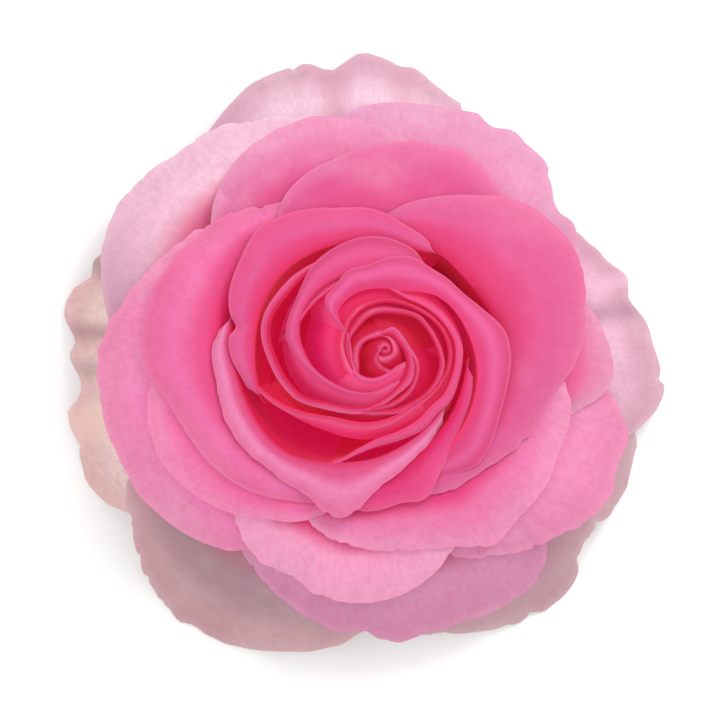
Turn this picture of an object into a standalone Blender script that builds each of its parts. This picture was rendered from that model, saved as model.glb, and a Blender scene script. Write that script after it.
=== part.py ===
"""A full-blown pink garden rose, picked with a stub of stem and lying on its back.

Frame: metres, +Z up. The origin is the middle of the cut stem's flat face, on the surface
that the bloom rests on, and +Z runs up the stem into the heart of the flower.

Every petal is a sheet laid in one family of nested sections. A section starts on the hip,
climbs as a wall to its crest, and then leans outward as a lip. A petal is a list of
stations round the flower: azimuth in degrees, radius of its crest and radius of its rim,
both in millimetres. Sections with a smaller crest lie inside and above those with a larger
one, so two petals never meet where their crests keep their order.
"""
import math

import bmesh
import bpy

MM = 0.001

# Driving sizes of the flower, in millimetres.
BLADE = 0.6
REACH = 56.0

# The hip's domed top, which carries the petals, and its turned side down to the cut stem.
DISC_RADIUS = 10.4
DISC_EDGE_HEIGHT = 12.9
DISC_HEIGHT = 15.0
DISC_SHARES = (0.4, 0.8, 1.0)
HIP_SIDE = [(10, 11.9), (7.6, 10.6), (7.2, 8), (6.1, 5.8), (3.3, 3.6), (2.8, 2.4), (2.8, 0)]
HIP_SEGMENTS = 32

# The rings' centres: the eye stands aside of the stem and lower than its ring's crests.
EYE_X = 4.0
EYE_Y = 0.9
EYE_DIP = 6.0
DRIFT_RADIUS = 24.0
DIP_RADIUS = 15.0
DRIFT_START = 16.0
DRIFT_RISE = 22.0

# Foot of a petal: its radius, a straight line over the crest radius, and how far the
# middle of the blade stands above the disc, which leaves a gap of 0.3 mm.
ROOT_START = 0.6
ROOT_SLOPE = 0.26
ROOT_CLEARANCE = 0.55

# Crest radius against crest height, and against the height reached at REACH.
CREST_HEIGHTS = [(0, 50.5), (5, 49.6), (10, 48.4), (15, 46.7), (20, 44.6), (24, 42.4),
                 (27, 39.8), (30, 36.0), (33, 31.0), (36, 25.0), (39, 19.0)]
FAR_HEIGHTS = [(0, 40), (10, 38), (20, 34), (24, 30), (27, 25), (30, 18.5), (33, 11),
               (36, 2.5), (39, -3)]
# Crest radius against the width of the bend below the crest.
BENDS = [(0, 0.15), (4, 0.5), (10, 0.9), (20, 1.6), (24, 3.0), (28, 6.0), (32, 9.0), (36, 12.5)]
# Crest radius against how far out the wall bellies, as a share of its width.
BELLIES = [(0, 0.5), (11, 0.5), (16, 0.62), (20, 0.85), (40, 0.85)]
BELLY_HEIGHT = 0.3

# Waved lips: where the waves start, their height at REACH, and each wave's number of
# turns round the flower, start in radians and share.
WAVE_START = 24.0
WAVE_HEIGHT = 1.3
WAVES = [(7, 0.6, 1.0), (11, 2.1, 0.6)]

# Tips that reach the surface flatten out over this height, down to the last clearance.
SURFACE_EASE = 2.6
TIP_CLEARANCE = 0.35

# Grid of a petal: how its narrow claw opens up the wall and its lip's corners round off,
# and its rows and columns.
CLAW_HALF_ANGLE = 15.0
CLAW_END = 0.85
CORNER_START = 1.4
CORNER_SHARE = 0.05
WALL_ROWS = 6
LIP_ROWS = 2
DEGREES_PER_COLUMN = 9.0
SWIRL_DEGREES_PER_COLUMN = 16.0

# Six pale guard petals, whose tips reach down to the surface.
GUARD_PETALS = {
    "guard_petal_top": [(60, 36.8, 46), (66, 36.9, 48), (74, 37, 50.6), (84, 37.1, 53.6),
                        (92, 37.2, 55.2), (98, 37.2, 52.8), (105, 37.1, 53.8),
                        (113, 37, 53.6), (122, 36.9, 51.4), (130, 36.8, 48)],
    "guard_petal_upper_left": [(98, 33.2, 43), (108, 33.2, 45.4), (118, 33.3, 47.8),
                               (128, 33.5, 49.7), (140, 33.6, 51.2), (151, 33.7, 52.4),
                               (160, 33.8, 51.2), (168, 34, 49), (178, 34.2, 46.5)],
    "guard_petal_left": [(152, 36.4, 50), (162, 36.5, 52.3), (171, 36.5, 55.3),
                         (180, 36.5, 53.4), (186, 36.5, 52.3), (192, 36.4, 54.8),
                         (203, 36.3, 55.8), (212, 36.3, 53.6), (218, 36.4, 50)],
    "guard_petal_lower_left": [(205, 34, 45), (214, 34.1, 50.6), (221, 34.2, 54.6),
                               (229, 34.3, 57.5), (236, 34.3, 59), (245, 34.3, 58.1),
                               (255, 34.3, 56.4), (265, 34.3, 53.8), (275, 34.2, 50.5)],
    "guard_petal_lower_right": [(268, 35.8, 48), (278, 35.7, 51.8), (288, 35.6, 53.6),
                                (297, 35.5, 56.2), (306, 35.5, 57.4), (314, 35.7, 56.2),
                                (319, 36, 52.9), (325, 36.4, 53.4), (334, 36.9, 53.2),
                                (342, 37.1, 52), (350, 37.2, 48)],
    "guard_petal_right": [(-20, 35.4, 49), (-13, 35.5, 53.2), (-8, 35.5, 56),
                          (0, 35.5, 53.3), (8, 35.5, 51.1), (18, 35.4, 49.2),
                          (28, 35.3, 45.4), (36, 35.2, 42)],
}

# Seven outer pink petals under the broad ones.
OUTER_PETALS = {
    "outer_petal_upper_right": [(24, 31.4, 43.2), (32, 31.4, 45.2), (40, 31.4, 46.3),
                                (50, 31.4, 48.6), (61, 31.5, 48.3), (70, 31.6, 47.6),
                                (80, 31.6, 46.8), (90, 31.6, 45.2), (99, 31.6, 41.5)],
    "outer_petal_upper_left": [(73, 29.6, 38.6), (82, 29.6, 40.8), (92, 29.7, 42.8),
                               (103, 29.9, 44.4), (113, 30.2, 43.8), (124, 30.5, 42.2),
                               (134, 30.8, 39.4), (141, 31, 36.4)],
    "outer_petal_top": [(43, 26.2, 36.6), (52, 26.2, 39.6), (62, 26.2, 41), (73, 26.2, 40.9),
                        (84, 26.2, 39), (96, 26.2, 37), (107, 26.2, 34.8), (116, 26.3, 32.8),
                        (122, 26.4, 29.8)],
    "outer_petal_left": [(135, 29, 35.6), (145, 29.3, 38.2), (155, 29.8, 41), (166, 30.4, 44.4),
                         (178, 30.8, 48.2), (190, 30.9, 49), (203, 30.9, 48.5), (215, 30.9, 48),
                         (226, 30.9, 46.4), (237, 30.9, 42.8), (242, 30.9, 39.5)],
    "outer_petal_bottom": [(233, 32.5, 40), (242, 32.5, 43.8), (253, 32.5, 47.4),
                           (266, 32.5, 51.3), (271, 32.5, 50.9), (275, 32.5, 52.8),
                           (282, 32.5, 52.2), (293, 32.4, 52.8), (305, 32.3, 52.8),
                           (312, 32.2, 50.8), (317, 32.2, 46)],
    "outer_petal_lower_right": [(294, 30.3, 40.6), (302, 30.2, 43.6), (309, 30.1, 46.8),
                                (317, 30, 49), (325, 30, 51.6), (334, 30, 52.1),
                                (343, 29.9, 51), (349, 29.8, 48), (354, 29.8, 44.6)],
    "outer_petal_right": [(-13, 28.2, 43), (-8, 28.2, 45.3), (-2, 28.2, 45.8), (4, 28.2, 44.5),
                          (11, 28.2, 42.6), (19, 28.2, 41.4)],
}

# Five broad pink petals whose lips fill the middle of the flower.
BROAD_PETALS = {
    "broad_petal_bottom": [(229, 29.4, 35.4), (234, 29.4, 39.6), (243, 29.4, 42.8),
                           (253, 29.4, 42.8), (258, 29.4, 44.8), (267, 29.3, 45.9),
                           (277, 29, 45.1), (287, 28.8, 42.9), (294, 28.7, 39.8),
                           (299, 28.7, 37)],
    "broad_petal_lower_right": [(253, 28.2, 31), (261, 27.8, 33.9), (272, 27.2, 35.8),
                                (284, 26.9, 37.2), (295, 26.8, 39), (305, 26.8, 42.6),
                                (312, 26.7, 41.4), (322, 26.7, 41.8), (333, 26.6, 40.3),
                                (344, 26.6, 39.4), (354, 26.6, 36.4)],
    "broad_petal_lower_left": [(185, 28.9, 38.6), (192, 28.5, 40.6), (203, 28, 41.7),
                               (213, 27.6, 41.4), (224, 27.3, 39.4), (235, 27, 36.4),
                               (246, 26.7, 33.3), (256, 26.6, 30.8)],
    "broad_petal_upper_left": [(116, 27.8, 30.4), (124, 27.8, 32.8), (135, 27.7, 35.6),
                               (148, 27.6, 38), (160, 27.6, 39.7), (172, 27.4, 40.8),
                               (184, 26.9, 40.1), (193, 26.4, 37), (204, 25.8, 35.2),
                               (218, 25.2, 34.2), (229, 25, 32.6), (241, 24.7, 30),
                               (252, 24.6, 28.2)],
    "broad_petal_right": [(-69, 24.6, 27.4), (-58, 24.7, 29.6), (-47, 24.8, 30.3),
                          (-37, 24.8, 31.6), (-28, 24.8, 33.8), (-18, 24.8, 34.5),
                          (-8, 24.8, 36.9), (3, 24.8, 40.2), (14, 24.8, 41.8),
                          (25, 24, 43.2), (35, 23.2, 41.7), (44, 23, 39.8),
                          (55, 23, 35.4), (66, 23, 31.2), (75, 23, 28), (81, 23, 25.6)],
}

# Three cup petals that hold the heart.
CUP_PETALS = {
    "cup_petal_upper_left": [(49, 20.9, 22.2), (60, 20.8, 23.3), (72, 20.7, 24.6),
                             (84, 20.6, 26.2), (98, 20.6, 27), (113, 20.7, 28.6),
                             (128, 20.9, 30), (141, 20.9, 28.6), (154, 20.7, 27.3),
                             (164, 20.5, 25.4), (168, 20.4, 23.8), (173, 20.3, 24.9),
                             (181, 20.3, 24.4), (191, 20.4, 22.9), (204, 20.6, 21.6)],
    "cup_petal_front": [(170, 25, 26.4), (177, 24.5, 27.5), (190, 23.6, 27.4), (206, 23.2, 28),
                        (222, 23.2, 27.8), (234, 22.8, 27.4), (248, 21.4, 28), (260, 20.3, 30.6),
                        (266, 20, 29.6), (275, 19.5, 24.8), (287, 18.6, 22.4),
                        (302, 17.8, 20.6), (314, 17.4, 19.2), (326, 17.2, 18.2)],
    "cup_petal_lower_right": [(257, 23.2, 27), (263, 23, 29.2), (272, 22.6, 28.9),
                              (284, 21.9, 28.4), (294, 21.2, 28.7), (302, 20.6, 26.2),
                              (312, 19.9, 23.6), (324, 19.3, 22), (338, 18.8, 21),
                              (349, 18.5, 20), (355, 18.4, 19.2)],
}

# Petals of the swirl, rolled round each other and grown together at the root.
SWIRL_PETALS = {
    "swirl_sweeping": [(-47, 22.9, 29.2), (-36, 22.5, 29), (-24, 21.9, 27.4), (-12, 21.2, 27),
                       (0, 20.2, 27), (10, 19.2, 26), (20, 18.3, 23.4), (31, 17.3, 21.2),
                       (42, 15.8, 20.4), (52, 14, 19.7), (64, 12.3, 19.6), (76, 11.8, 18.2),
                       (90, 11.5, 16.1), (105, 11.3, 15.5), (119, 10.9, 13.8),
                       (132, 10.4, 13.2), (141, 9.7, 11.6), (150, 8.6, 9.3),
                       (167, 7.2, 7.6), (190, 6.9, 7.2)],
    "swirl_wide": [(57, 15.6, 20.6), (66, 15.2, 21.3), (78, 14.8, 21.6), (92, 14.6, 21.3),
                   (106, 14.5, 20.1), (121, 14.4, 18.8), (138, 14.3, 16.9),
                   (154, 14, 16.1), (169, 13.4, 15.6), (181, 12.6, 14.2), (193, 11.8, 12.7),
                   (208, 10.6, 11.3), (224, 9.5, 10.1)],
    "swirl_long": [(119, 18.9, 19.8), (132, 18, 19.4), (145, 18, 19.5), (159, 18.4, 19.8),
                   (170, 18, 19.4), (184, 16.8, 18.1), (200, 15.7, 16.9), (214, 14.6, 15.8),
                   (228, 12.6, 13.9), (243, 11.4, 12.6), (258, 10.6, 11.7), (270, 9.2, 10.2),
                   (284, 7.9, 8.7), (300, 6.9, 7.7), (318, 6.2, 6.9), (330, 5.8, 6.4)],
    "swirl_low": [(203, 19, 19.8), (211, 18.1, 19), (219, 16.8, 17.8), (229, 15.2, 16.2),
                  (240, 13.9, 14.9), (252, 13.4, 14.5), (266, 13.1, 14.2), (284, 12.6, 13.7),
                  (300, 12.1, 13)],
    "swirl_outer_right": [(-120, 18.6, 19.6), (-110, 17.5, 18.6), (-98, 16.4, 17.6),
                          (-84, 15.7, 17), (-68, 15.4, 17), (-54, 15.2, 17.3),
                          (-42, 14.9, 16.9), (-30, 15.6, 17.6), (-18, 15.8, 17.4),
                          (-6, 15.9, 17.4), (5, 15.8, 17.3), (14, 15.1, 16.5),
                          (25, 14, 15.2), (38, 12.7, 13.7), (50, 11.5, 12.3), (62, 10.6, 11.2)],
    "swirl_thin": [(-12, 14.2, 14.9), (4, 13.9, 14.6), (18, 13, 13.7), (33, 11.5, 12.2),
                   (48, 10.2, 10.9), (64, 9.4, 10), (82, 8.8, 9.4), (98, 8.5, 9.1),
                   (114, 8.2, 8.8), (128, 7.7, 8.3), (142, 7, 7.6), (158, 6.2, 6.7)],
    "swirl_inner": [(-72, 11.2, 12.1), (-56, 11.4, 12.3), (-40, 12, 12.9), (-24, 12.4, 13.4),
                    (-10, 12.2, 13.4), (0, 11.4, 12.5), (13, 10.4, 11.4), (27, 9.6, 10.6),
                    (40, 9, 10.1), (54, 7.9, 8.9), (71, 6.9, 7.9), (91, 6.3, 7.2),
                    (110, 6, 6.9), (130, 5.7, 6.5), (148, 5.3, 6)],
    "swirl_branch": [(-76, 10.2, 11.1), (-60, 9.4, 10.3), (-47, 8.6, 9.6), (-38, 7.7, 8.6),
                     (-28, 7, 7.9), (-18, 6.5, 7.3)],
    "eye_hood": [(-36, 5.6, 7.6), (-24, 4.9, 7.6), (-9, 4.2, 6.8), (8, 3.4, 5.6),
                 (22, 2.9, 5), (38, 2.5, 4.7), (57, 2.4, 4.8), (72, 2.3, 4.4),
                 (87, 2.2, 3.8), (100, 2, 3)],
    "eye_cup": [(90, 3.2, 3.9), (108, 3.3, 4.1), (127, 3.5, 4.3), (150, 4, 5),
                (171, 4.4, 5.4), (190, 4.7, 5.7), (208, 4.9, 5.9), (224, 5, 6.1),
                (242, 4.9, 6), (258, 4.5, 5.5), (272, 3.9, 4.9), (290, 3.4, 4.3),
                (310, 3.1, 4), (326, 3.1, 4)],
    "eye_roll": [(-150, 1.9, 2.3), (-110, 1.9, 2.3), (-70, 1.9, 2.3), (-30, 1.8, 2.3),
                 (10, 1.5, 2.1), (50, 1.3, 1.9), (85, 1.1, 1.6), (110, 1, 1.4)],
}

# The solid core of the heart, which the swirl's roots sink into: radius and height.
CORE_PROFILE = [(1, 40.5), (3.2, 36), (5.4, 30), (6.6, 24), (6.4, 20), (5.2, 17), (5, 15.3)]
CORE_SEGMENTS = 16

# Five sepals bent down under the bloom. Their width swells and then tapers along the
# length, their middle is hollowed, and they droop more towards the tip.
SEPAL_COUNT = 5
SEPAL_TURN = 18.0
SEPAL_START = 6.2
SEPAL_LENGTH = 24.0
SEPAL_HALF_WIDTH = 2.0
SEPAL_SWELL = 2.0
SEPAL_TAPER = 0.7
SEPAL_TIP_HALF_WIDTH = 0.35
SEPAL_HOLLOW = 0.5
SEPAL_ROOT_HEIGHT = 11.2
SEPAL_DROP = 5.6
SEPAL_BEND = 1.6
SEPAL_BLADE = 0.9
SEPAL_ROWS = 8

TONES = {
    "guard": ((0.86, 0.62, 0.64, 1), 0.62),
    "outer": ((0.86, 0.33, 0.48, 1), 0.6),
    "broad": ((0.84, 0.2, 0.38, 1), 0.58),
    "cup": ((0.84, 0.14, 0.32, 1), 0.56),
    "heart": ((0.76, 0.05, 0.18, 1), 0.55),
    "green": ((0.16, 0.3, 0.07, 1), 0.55),
}


def clear_scene():
    """Remove every object of the scene the script starts in."""
    for item in list(bpy.data.objects):
        bpy.data.objects.remove(item, do_unlink=True)


def smooth_step(x):
    """Ease from 0 to 1 for x from 0 to 1."""
    x = min(max(x, 0.0), 1.0)
    return x * x * (3 - 2 * x)


def slope_at(points, i, k):
    """Slope of column k of the stations at station i."""
    low = max(i - 1, 0)
    high = min(i + 1, len(points) - 1)
    return (points[high][k] - points[low][k]) / (points[high][0] - points[low][0])


def through(points, x, k=1):
    """Smooth curve through the stations (x, value, ...), held level past both ends."""
    if x <= points[0][0]:
        return points[0][k]
    if x >= points[-1][0]:
        return points[-1][k]
    i = max(j for j in range(len(points) - 1) if points[j][0] <= x)
    span = points[i + 1][0] - points[i][0]
    t = (x - points[i][0]) / span
    start = points[i][k]
    end = points[i + 1][k]
    lead = slope_at(points, i, k) * span
    trail = slope_at(points, i + 1, k) * span
    return (start * (2 * t ** 3 - 3 * t ** 2 + 1) + lead * (t ** 3 - 2 * t ** 2 + t)
            + end * (3 * t ** 2 - 2 * t ** 3) + trail * (t ** 3 - t ** 2))


def disc_top(radius):
    """Height of the hip's slightly domed top at a radius."""
    fall = DISC_HEIGHT - DISC_EDGE_HEIGHT
    return DISC_HEIGHT - fall * (radius / DISC_RADIUS) ** 2


def section_point(crest, rim, along):
    """Radius and height on the section: along runs 0 to 1 up the wall, 1 to 2 over the lip."""
    root = ROOT_START + ROOT_SLOPE * crest
    root_height = disc_top(root) + ROOT_CLEARANCE
    top = through(CREST_HEIGHTS, crest)
    if along <= 1.0:
        wall = crest - through(BENDS, crest)
        belly = root + through(BELLIES, crest) * (wall - root)
        belly_height = root_height + BELLY_HEIGHT * (top - root_height)
        knots = [(root, root_height), (belly, belly_height), (wall, top), (crest, top)]
        t = along
        weights = [(1 - t) ** 3, 3 * t * (1 - t) ** 2, 3 * t ** 2 * (1 - t), t ** 3]
        radius = sum(w * knot[0] for w, knot in zip(weights, knots))
        height = sum(w * knot[1] for w, knot in zip(weights, knots))
        return radius, height
    radius = crest + (rim - crest) * (along - 1.0)
    drop = (top - through(FAR_HEIGHTS, crest)) * ((radius - crest) / (REACH - crest)) ** 2
    return radius, top - drop


def wave_lift(azimuth, radius):
    """Height that the waves add, the same for every petal, so that none meets another."""
    share = smooth_step((radius - WAVE_START) / (REACH - WAVE_START))
    angle = math.radians(azimuth)
    wave = sum(weight * math.sin(turns * angle + start) for turns, start, weight in WAVES)
    return WAVE_HEIGHT * share * wave


def rest_height(height):
    """Height of a tip once the surface has stopped it."""
    if height >= SURFACE_EASE:
        return height
    room = SURFACE_EASE - TIP_CLEARANCE
    return TIP_CLEARANCE + room * math.exp((height - SURFACE_EASE) / room)


def plan_point(azimuth, radius, height):
    """Point in metres: the rings' centres drift from the eye to the stem's axis."""
    height = rest_height(height + wave_lift(azimuth, radius))
    lift = smooth_step((height - DRIFT_START) / DRIFT_RISE)
    share = (1 - smooth_step(radius / DRIFT_RADIUS)) * lift
    dip = EYE_DIP * (1 - smooth_step(radius / DIP_RADIUS)) * lift
    angle = math.radians(azimuth)
    x = EYE_X * share + radius * math.cos(angle)
    y = EYE_Y * share + radius * math.sin(angle)
    return (x * MM, y * MM, (height - dip) * MM)


def petal_azimuth(stations, across, along):
    """Azimuth of a petal's point, with across running from -1 to 1 over its width."""
    first = stations[0][0]
    last = stations[-1][0]
    half = (last - first) / 2
    claw = min(CLAW_HALF_ANGLE, half)
    width = claw + (half - claw) * smooth_step(along / CLAW_END)
    corner = CORNER_SHARE * smooth_step((along - CORNER_START) / (2 - CORNER_START))
    return (first + last) / 2 + across * width * (1 - corner)


def row_position(row):
    """Place of a row of the petal's grid along its section."""
    if row <= WALL_ROWS:
        return row / WALL_ROWS
    return 1 + (row - WALL_ROWS) / LIP_ROWS


def petal_mesh(name, stations, pitch=DEGREES_PER_COLUMN):
    """Open sheet of one petal, a grid laid on its sections and split into triangles."""
    columns = max(4, round((stations[-1][0] - stations[0][0]) / pitch))
    rows = WALL_ROWS + LIP_ROWS
    bm = bmesh.new()
    bmesh.ops.create_grid(bm, x_segments=columns, y_segments=rows, size=1)
    for vert in bm.verts:
        across = vert.co.x
        along = row_position(round((vert.co.y + 1) / 2 * rows))
        azimuth = petal_azimuth(stations, across, along)
        crest = through(stations, azimuth, 1)
        rim = through(stations, azimuth, 2)
        radius, height = section_point(crest, rim, along)
        vert.co = plan_point(azimuth, radius, height)
    bmesh.ops.triangulate(bm, faces=bm.faces)
    mesh = bpy.data.meshes.new(name)
    bm.to_mesh(mesh)
    bm.free()
    mesh.shade_smooth()
    return mesh


def material(name, tone):
    """Principled material of one tone of the flower."""
    colour, roughness = TONES[tone]
    skin = bpy.data.materials.new(name)
    skin.use_nodes = True
    shader = skin.node_tree.nodes["Principled BSDF"]
    shader.inputs["Base Color"].default_value = colour
    shader.inputs["Roughness"].default_value = roughness
    shader.inputs["Metallic"].default_value = 0.0
    return skin


def blade_object(name, mesh, thickness, group):
    """Object whose sheet is thickened evenly to both sides."""
    item = bpy.data.objects.new(name, mesh)
    group.objects.link(item)
    shell = item.modifiers.new("blade", "SOLIDIFY")
    shell.thickness = thickness * MM
    shell.offset = 0
    return item


def add_petals(table, tone, group):
    """One object for each petal of a table."""
    for name, stations in table.items():
        item = blade_object(name, petal_mesh(name, stations), BLADE, group)
        item.data.materials.append(material(name, tone))


def turned(name, profile, segments, group):
    """Closed solid turned round +Z from a profile of radius and height, top to bottom."""
    bm = bmesh.new()
    points = [(0.0, profile[0][1])] + list(profile) + [(0.0, profile[-1][1])]
    verts = [bm.verts.new((radius * MM, 0, height * MM)) for radius, height in points]
    for start, end in zip(verts, verts[1:]):
        bm.edges.new((start, end))
    mesh = bpy.data.meshes.new(name)
    bm.to_mesh(mesh)
    bm.free()
    item = bpy.data.objects.new(name, mesh)
    group.objects.link(item)
    screw = item.modifiers.new("turn", "SCREW")
    screw.steps = segments
    screw.render_steps = segments
    screw.use_merge_vertices = True
    screw.merge_threshold = 1e-6
    screw.use_smooth_shade = True
    return item


def joined(name, target, pieces, group):
    """Boolean union of the pieces with the target, applied, with the pieces removed."""
    tools = bpy.data.collections.new(name + "_pieces")
    bpy.context.scene.collection.children.link(tools)
    for piece in pieces:
        group.objects.unlink(piece)
        tools.objects.link(piece)
    union = target.modifiers.new("union", "BOOLEAN")
    union.operation = "UNION"
    union.operand_type = "COLLECTION"
    union.collection = tools
    union.solver = "MANIFOLD"
    bpy.context.view_layer.update()
    graph = bpy.context.evaluated_depsgraph_get()
    mesh = bpy.data.meshes.new_from_object(target.evaluated_get(graph))
    mesh.name = name
    mesh.materials.clear()
    whole = bpy.data.objects.new(name, mesh)
    group.objects.link(whole)
    for piece in pieces + [target]:
        bpy.data.objects.remove(piece, do_unlink=True)
    bpy.data.collections.remove(tools)
    return whole


def add_heart(group):
    """The rolled swirl of inner petals, grown together on a short core."""
    core = turned("heart_core", CORE_PROFILE, CORE_SEGMENTS, group)
    pieces = []
    for name, stations in SWIRL_PETALS.items():
        mesh = petal_mesh(name, stations, SWIRL_DEGREES_PER_COLUMN)
        pieces.append(blade_object(name, mesh, BLADE, group))
    heart = joined("heart", core, pieces, group)
    heart.data.materials.append(material("heart", "heart"))


def sepal_mesh(name, turn):
    """Open lance-shaped sheet that leaves the hip and bends down and outward."""
    bm = bmesh.new()
    bmesh.ops.create_grid(bm, x_segments=2, y_segments=SEPAL_ROWS, size=1)
    angle = math.radians(turn)
    for vert in bm.verts:
        share = (vert.co.y + 1) / 2
        spread = SEPAL_HALF_WIDTH * (1 + SEPAL_SWELL * share) * (1 - share) ** SEPAL_TAPER
        across = vert.co.x * (spread + SEPAL_TIP_HALF_WIDTH)
        radius = SEPAL_START + SEPAL_LENGTH * share
        hollow = SEPAL_HOLLOW * abs(vert.co.x) * (1 - share)
        height = SEPAL_ROOT_HEIGHT - SEPAL_DROP * share ** SEPAL_BEND + hollow
        x = radius * math.cos(angle) - across * math.sin(angle)
        y = radius * math.sin(angle) + across * math.cos(angle)
        vert.co = (x * MM, y * MM, height * MM)
    bmesh.ops.triangulate(bm, faces=bm.faces)
    mesh = bpy.data.meshes.new(name)
    bm.to_mesh(mesh)
    bm.free()
    return mesh


def add_calyx(group):
    """Stem stub, hip and five sepals, which grow as one green piece."""
    disc = [(DISC_RADIUS * share, disc_top(DISC_RADIUS * share)) for share in DISC_SHARES]
    hip = turned("hip", disc + HIP_SIDE, HIP_SEGMENTS, group)
    sepals = []
    for number in range(SEPAL_COUNT):
        name = "sepal_%d" % (number + 1)
        mesh = sepal_mesh(name, SEPAL_TURN + 360 / SEPAL_COUNT * number)
        sepals.append(blade_object(name, mesh, SEPAL_BLADE, group))
    calyx = joined("calyx", hip, sepals, group)
    calyx.data.materials.append(material("calyx", "green"))


def main():
    clear_scene()
    group = bpy.data.collections.new("rose")
    bpy.context.scene.collection.children.link(group)
    add_calyx(group)
    add_petals(GUARD_PETALS, "guard", group)
    add_petals(OUTER_PETALS, "outer", group)
    add_petals(BROAD_PETALS, "broad", group)
    add_petals(CUP_PETALS, "cup", group)
    add_heart(group)


main()
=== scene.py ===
# %% [markdown]
# A full-blown garden rose, picked and lying on its back, seen from straight above.
#
# The bloom is a spiral of soft sheets. Deep inside, narrow crimson petals are rolled round
# each other like a scroll. Round them stand cupped petals, then broad pink ones whose lips
# lean outward, and last a ring of old, pale guard petals. Under it all sit a green hip, five
# sepals and a stub of stem.
#
# Every petal is one sheet, bent by a formula and then thickened. The frame that the script
# loads holds the plain solids of the same petals, and each sheet here takes the place of one
# of them, with a finer edge, thinner flesh and its own skin.

# %% Load the frame
import math

import bmesh
import bpy
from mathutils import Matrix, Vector, noise
from mathutils.bvhtree import BVHTree


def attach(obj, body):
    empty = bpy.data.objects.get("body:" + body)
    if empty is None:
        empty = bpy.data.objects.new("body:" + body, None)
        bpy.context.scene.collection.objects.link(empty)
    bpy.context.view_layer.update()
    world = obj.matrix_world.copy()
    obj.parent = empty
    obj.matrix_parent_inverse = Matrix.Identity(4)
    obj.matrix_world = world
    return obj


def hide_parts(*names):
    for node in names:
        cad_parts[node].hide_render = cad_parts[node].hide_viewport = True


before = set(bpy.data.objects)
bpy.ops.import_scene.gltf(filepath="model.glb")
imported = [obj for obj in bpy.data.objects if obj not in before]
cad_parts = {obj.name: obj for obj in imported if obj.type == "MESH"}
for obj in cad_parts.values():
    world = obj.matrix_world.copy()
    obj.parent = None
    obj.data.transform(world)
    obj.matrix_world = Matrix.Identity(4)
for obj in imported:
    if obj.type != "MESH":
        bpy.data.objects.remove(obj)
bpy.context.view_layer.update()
MM = 0.001
print("solids to dress:", len(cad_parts))

# %% [markdown]
# Colours are chosen as hex values, the way a colour picker shows them. Blender's shaders
# calculate with linear light, so one function turns the first into the second.
#
# A material is a small graph of nodes. A single helper adds a node, sets its sockets and
# its properties, and wires its inputs, so that each material below reads as a list of steps.

# %% Two helpers for materials
def linear(hex_colour):
    """Linear colour with alpha of an sRGB hex value such as F18BBD."""
    channels = [int(hex_colour[i:i + 2], 16) / 255 for i in (0, 2, 4)]
    return [c / 12.92 if c <= 0.04045 else ((c + 0.055) / 1.055) ** 2.4 for c in channels] + [1]


def add(tree, kind, sockets=None, links=None, **settings):
    """Add a node of a kind, with socket values, links into its sockets, and properties."""
    node = tree.nodes.new(kind)
    for key, value in settings.items():
        setattr(node, key, value)
    for key, value in (sockets or {}).items():
        node.inputs[key].default_value = value
    for key, output in (links or {}).items():
        tree.links.new(output, node.inputs[key])
    return node


print("a mid pink in linear light:", [round(c, 3) for c in linear("EB528E")])

# %% [markdown]
# Two curves shape everything. One is an ease from 0 to 1. The other runs smoothly through a
# short list of stations, so a petal's outline needs only the points that give it its shape.

# %% Curves through stations
def smooth_step(x):
    """Ease from 0 to 1 for x from 0 to 1."""
    x = min(max(x, 0.0), 1.0)
    return x * x * (3 - 2 * x)


def slope_at(points, i, k):
    """Slope of column k of the stations at station i."""
    low = max(i - 1, 0)
    high = min(i + 1, len(points) - 1)
    return (points[high][k] - points[low][k]) / (points[high][0] - points[low][0])


def through(points, x, k=1):
    """Smooth curve through the stations (x, value, ...), held level past both ends."""
    if x <= points[0][0]:
        return points[0][k]
    if x >= points[-1][0]:
        return points[-1][k]
    i = max(j for j in range(len(points) - 1) if points[j][0] <= x)
    span = points[i + 1][0] - points[i][0]
    t = (x - points[i][0]) / span
    start = points[i][k]
    end = points[i + 1][k]
    lead = slope_at(points, i, k) * span
    trail = slope_at(points, i + 1, k) * span
    return (start * (2 * t ** 3 - 3 * t ** 2 + 1) + lead * (t ** 3 - 2 * t ** 2 + t)
            + end * (3 * t ** 2 - 2 * t ** 3) + trail * (t ** 3 - t ** 2))


print("halfway up a step:", smooth_step(0.5))

# %% [markdown]
# All petals share one family of nested sections, cut from the stem's axis outward. A section
# starts on the hip's domed top, climbs as a wall to its crest, and leans out from there as a
# lip. A section with a smaller crest radius lies inside and above one with a larger crest
# radius, which is how petals really pack in a bloom, and it keeps them from running through
# each other.
#
# The heights and widths are the ones that the solids were made with, in millimetres. The walls
# are finer: the young petals of the heart swell out below their rims and close over the eye,
# as in a bud, so one looks down onto their backs, while the old ones bend outward.

# %% The family of sections
REACH = 56.0
DISC_RADIUS = 10.4
DISC_EDGE_HEIGHT = 12.9
DISC_HEIGHT = 15.0
ROOT_START = 0.6
ROOT_SLOPE = 0.26
ROOT_CLEARANCE = 0.55

# Crest radius against crest height, and against the height reached at REACH.
CREST_HEIGHTS = [(0, 50.5), (5, 49.6), (10, 48.4), (15, 46.7), (20, 44.6), (24, 42.4),
                 (27, 39.8), (30, 36.0), (33, 31.0), (36, 25.0), (39, 19.0)]
FAR_HEIGHTS = [(0, 40), (10, 38), (20, 34), (24, 30), (27, 25), (30, 18.5), (33, 11),
               (36, 2.5), (39, -3)]
# Crest radius against how far outside the crest the wall's shoulder stands, and how far
# below it. Old petals bend outward, so theirs is inside. Young ones close over the eye.
SHOULDERS = [(0, 12, 6), (5, 10, 7), (10, 7.2, 8), (14, 4.5, 8), (18, 1.7, 7), (20, 0.2, 6),
             (22.5, -1.3, 3), (24.5, -3.0, 0.5), (28, -5.8, 0), (32, -9.0, 0), (36, -12.2, 0)]
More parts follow.
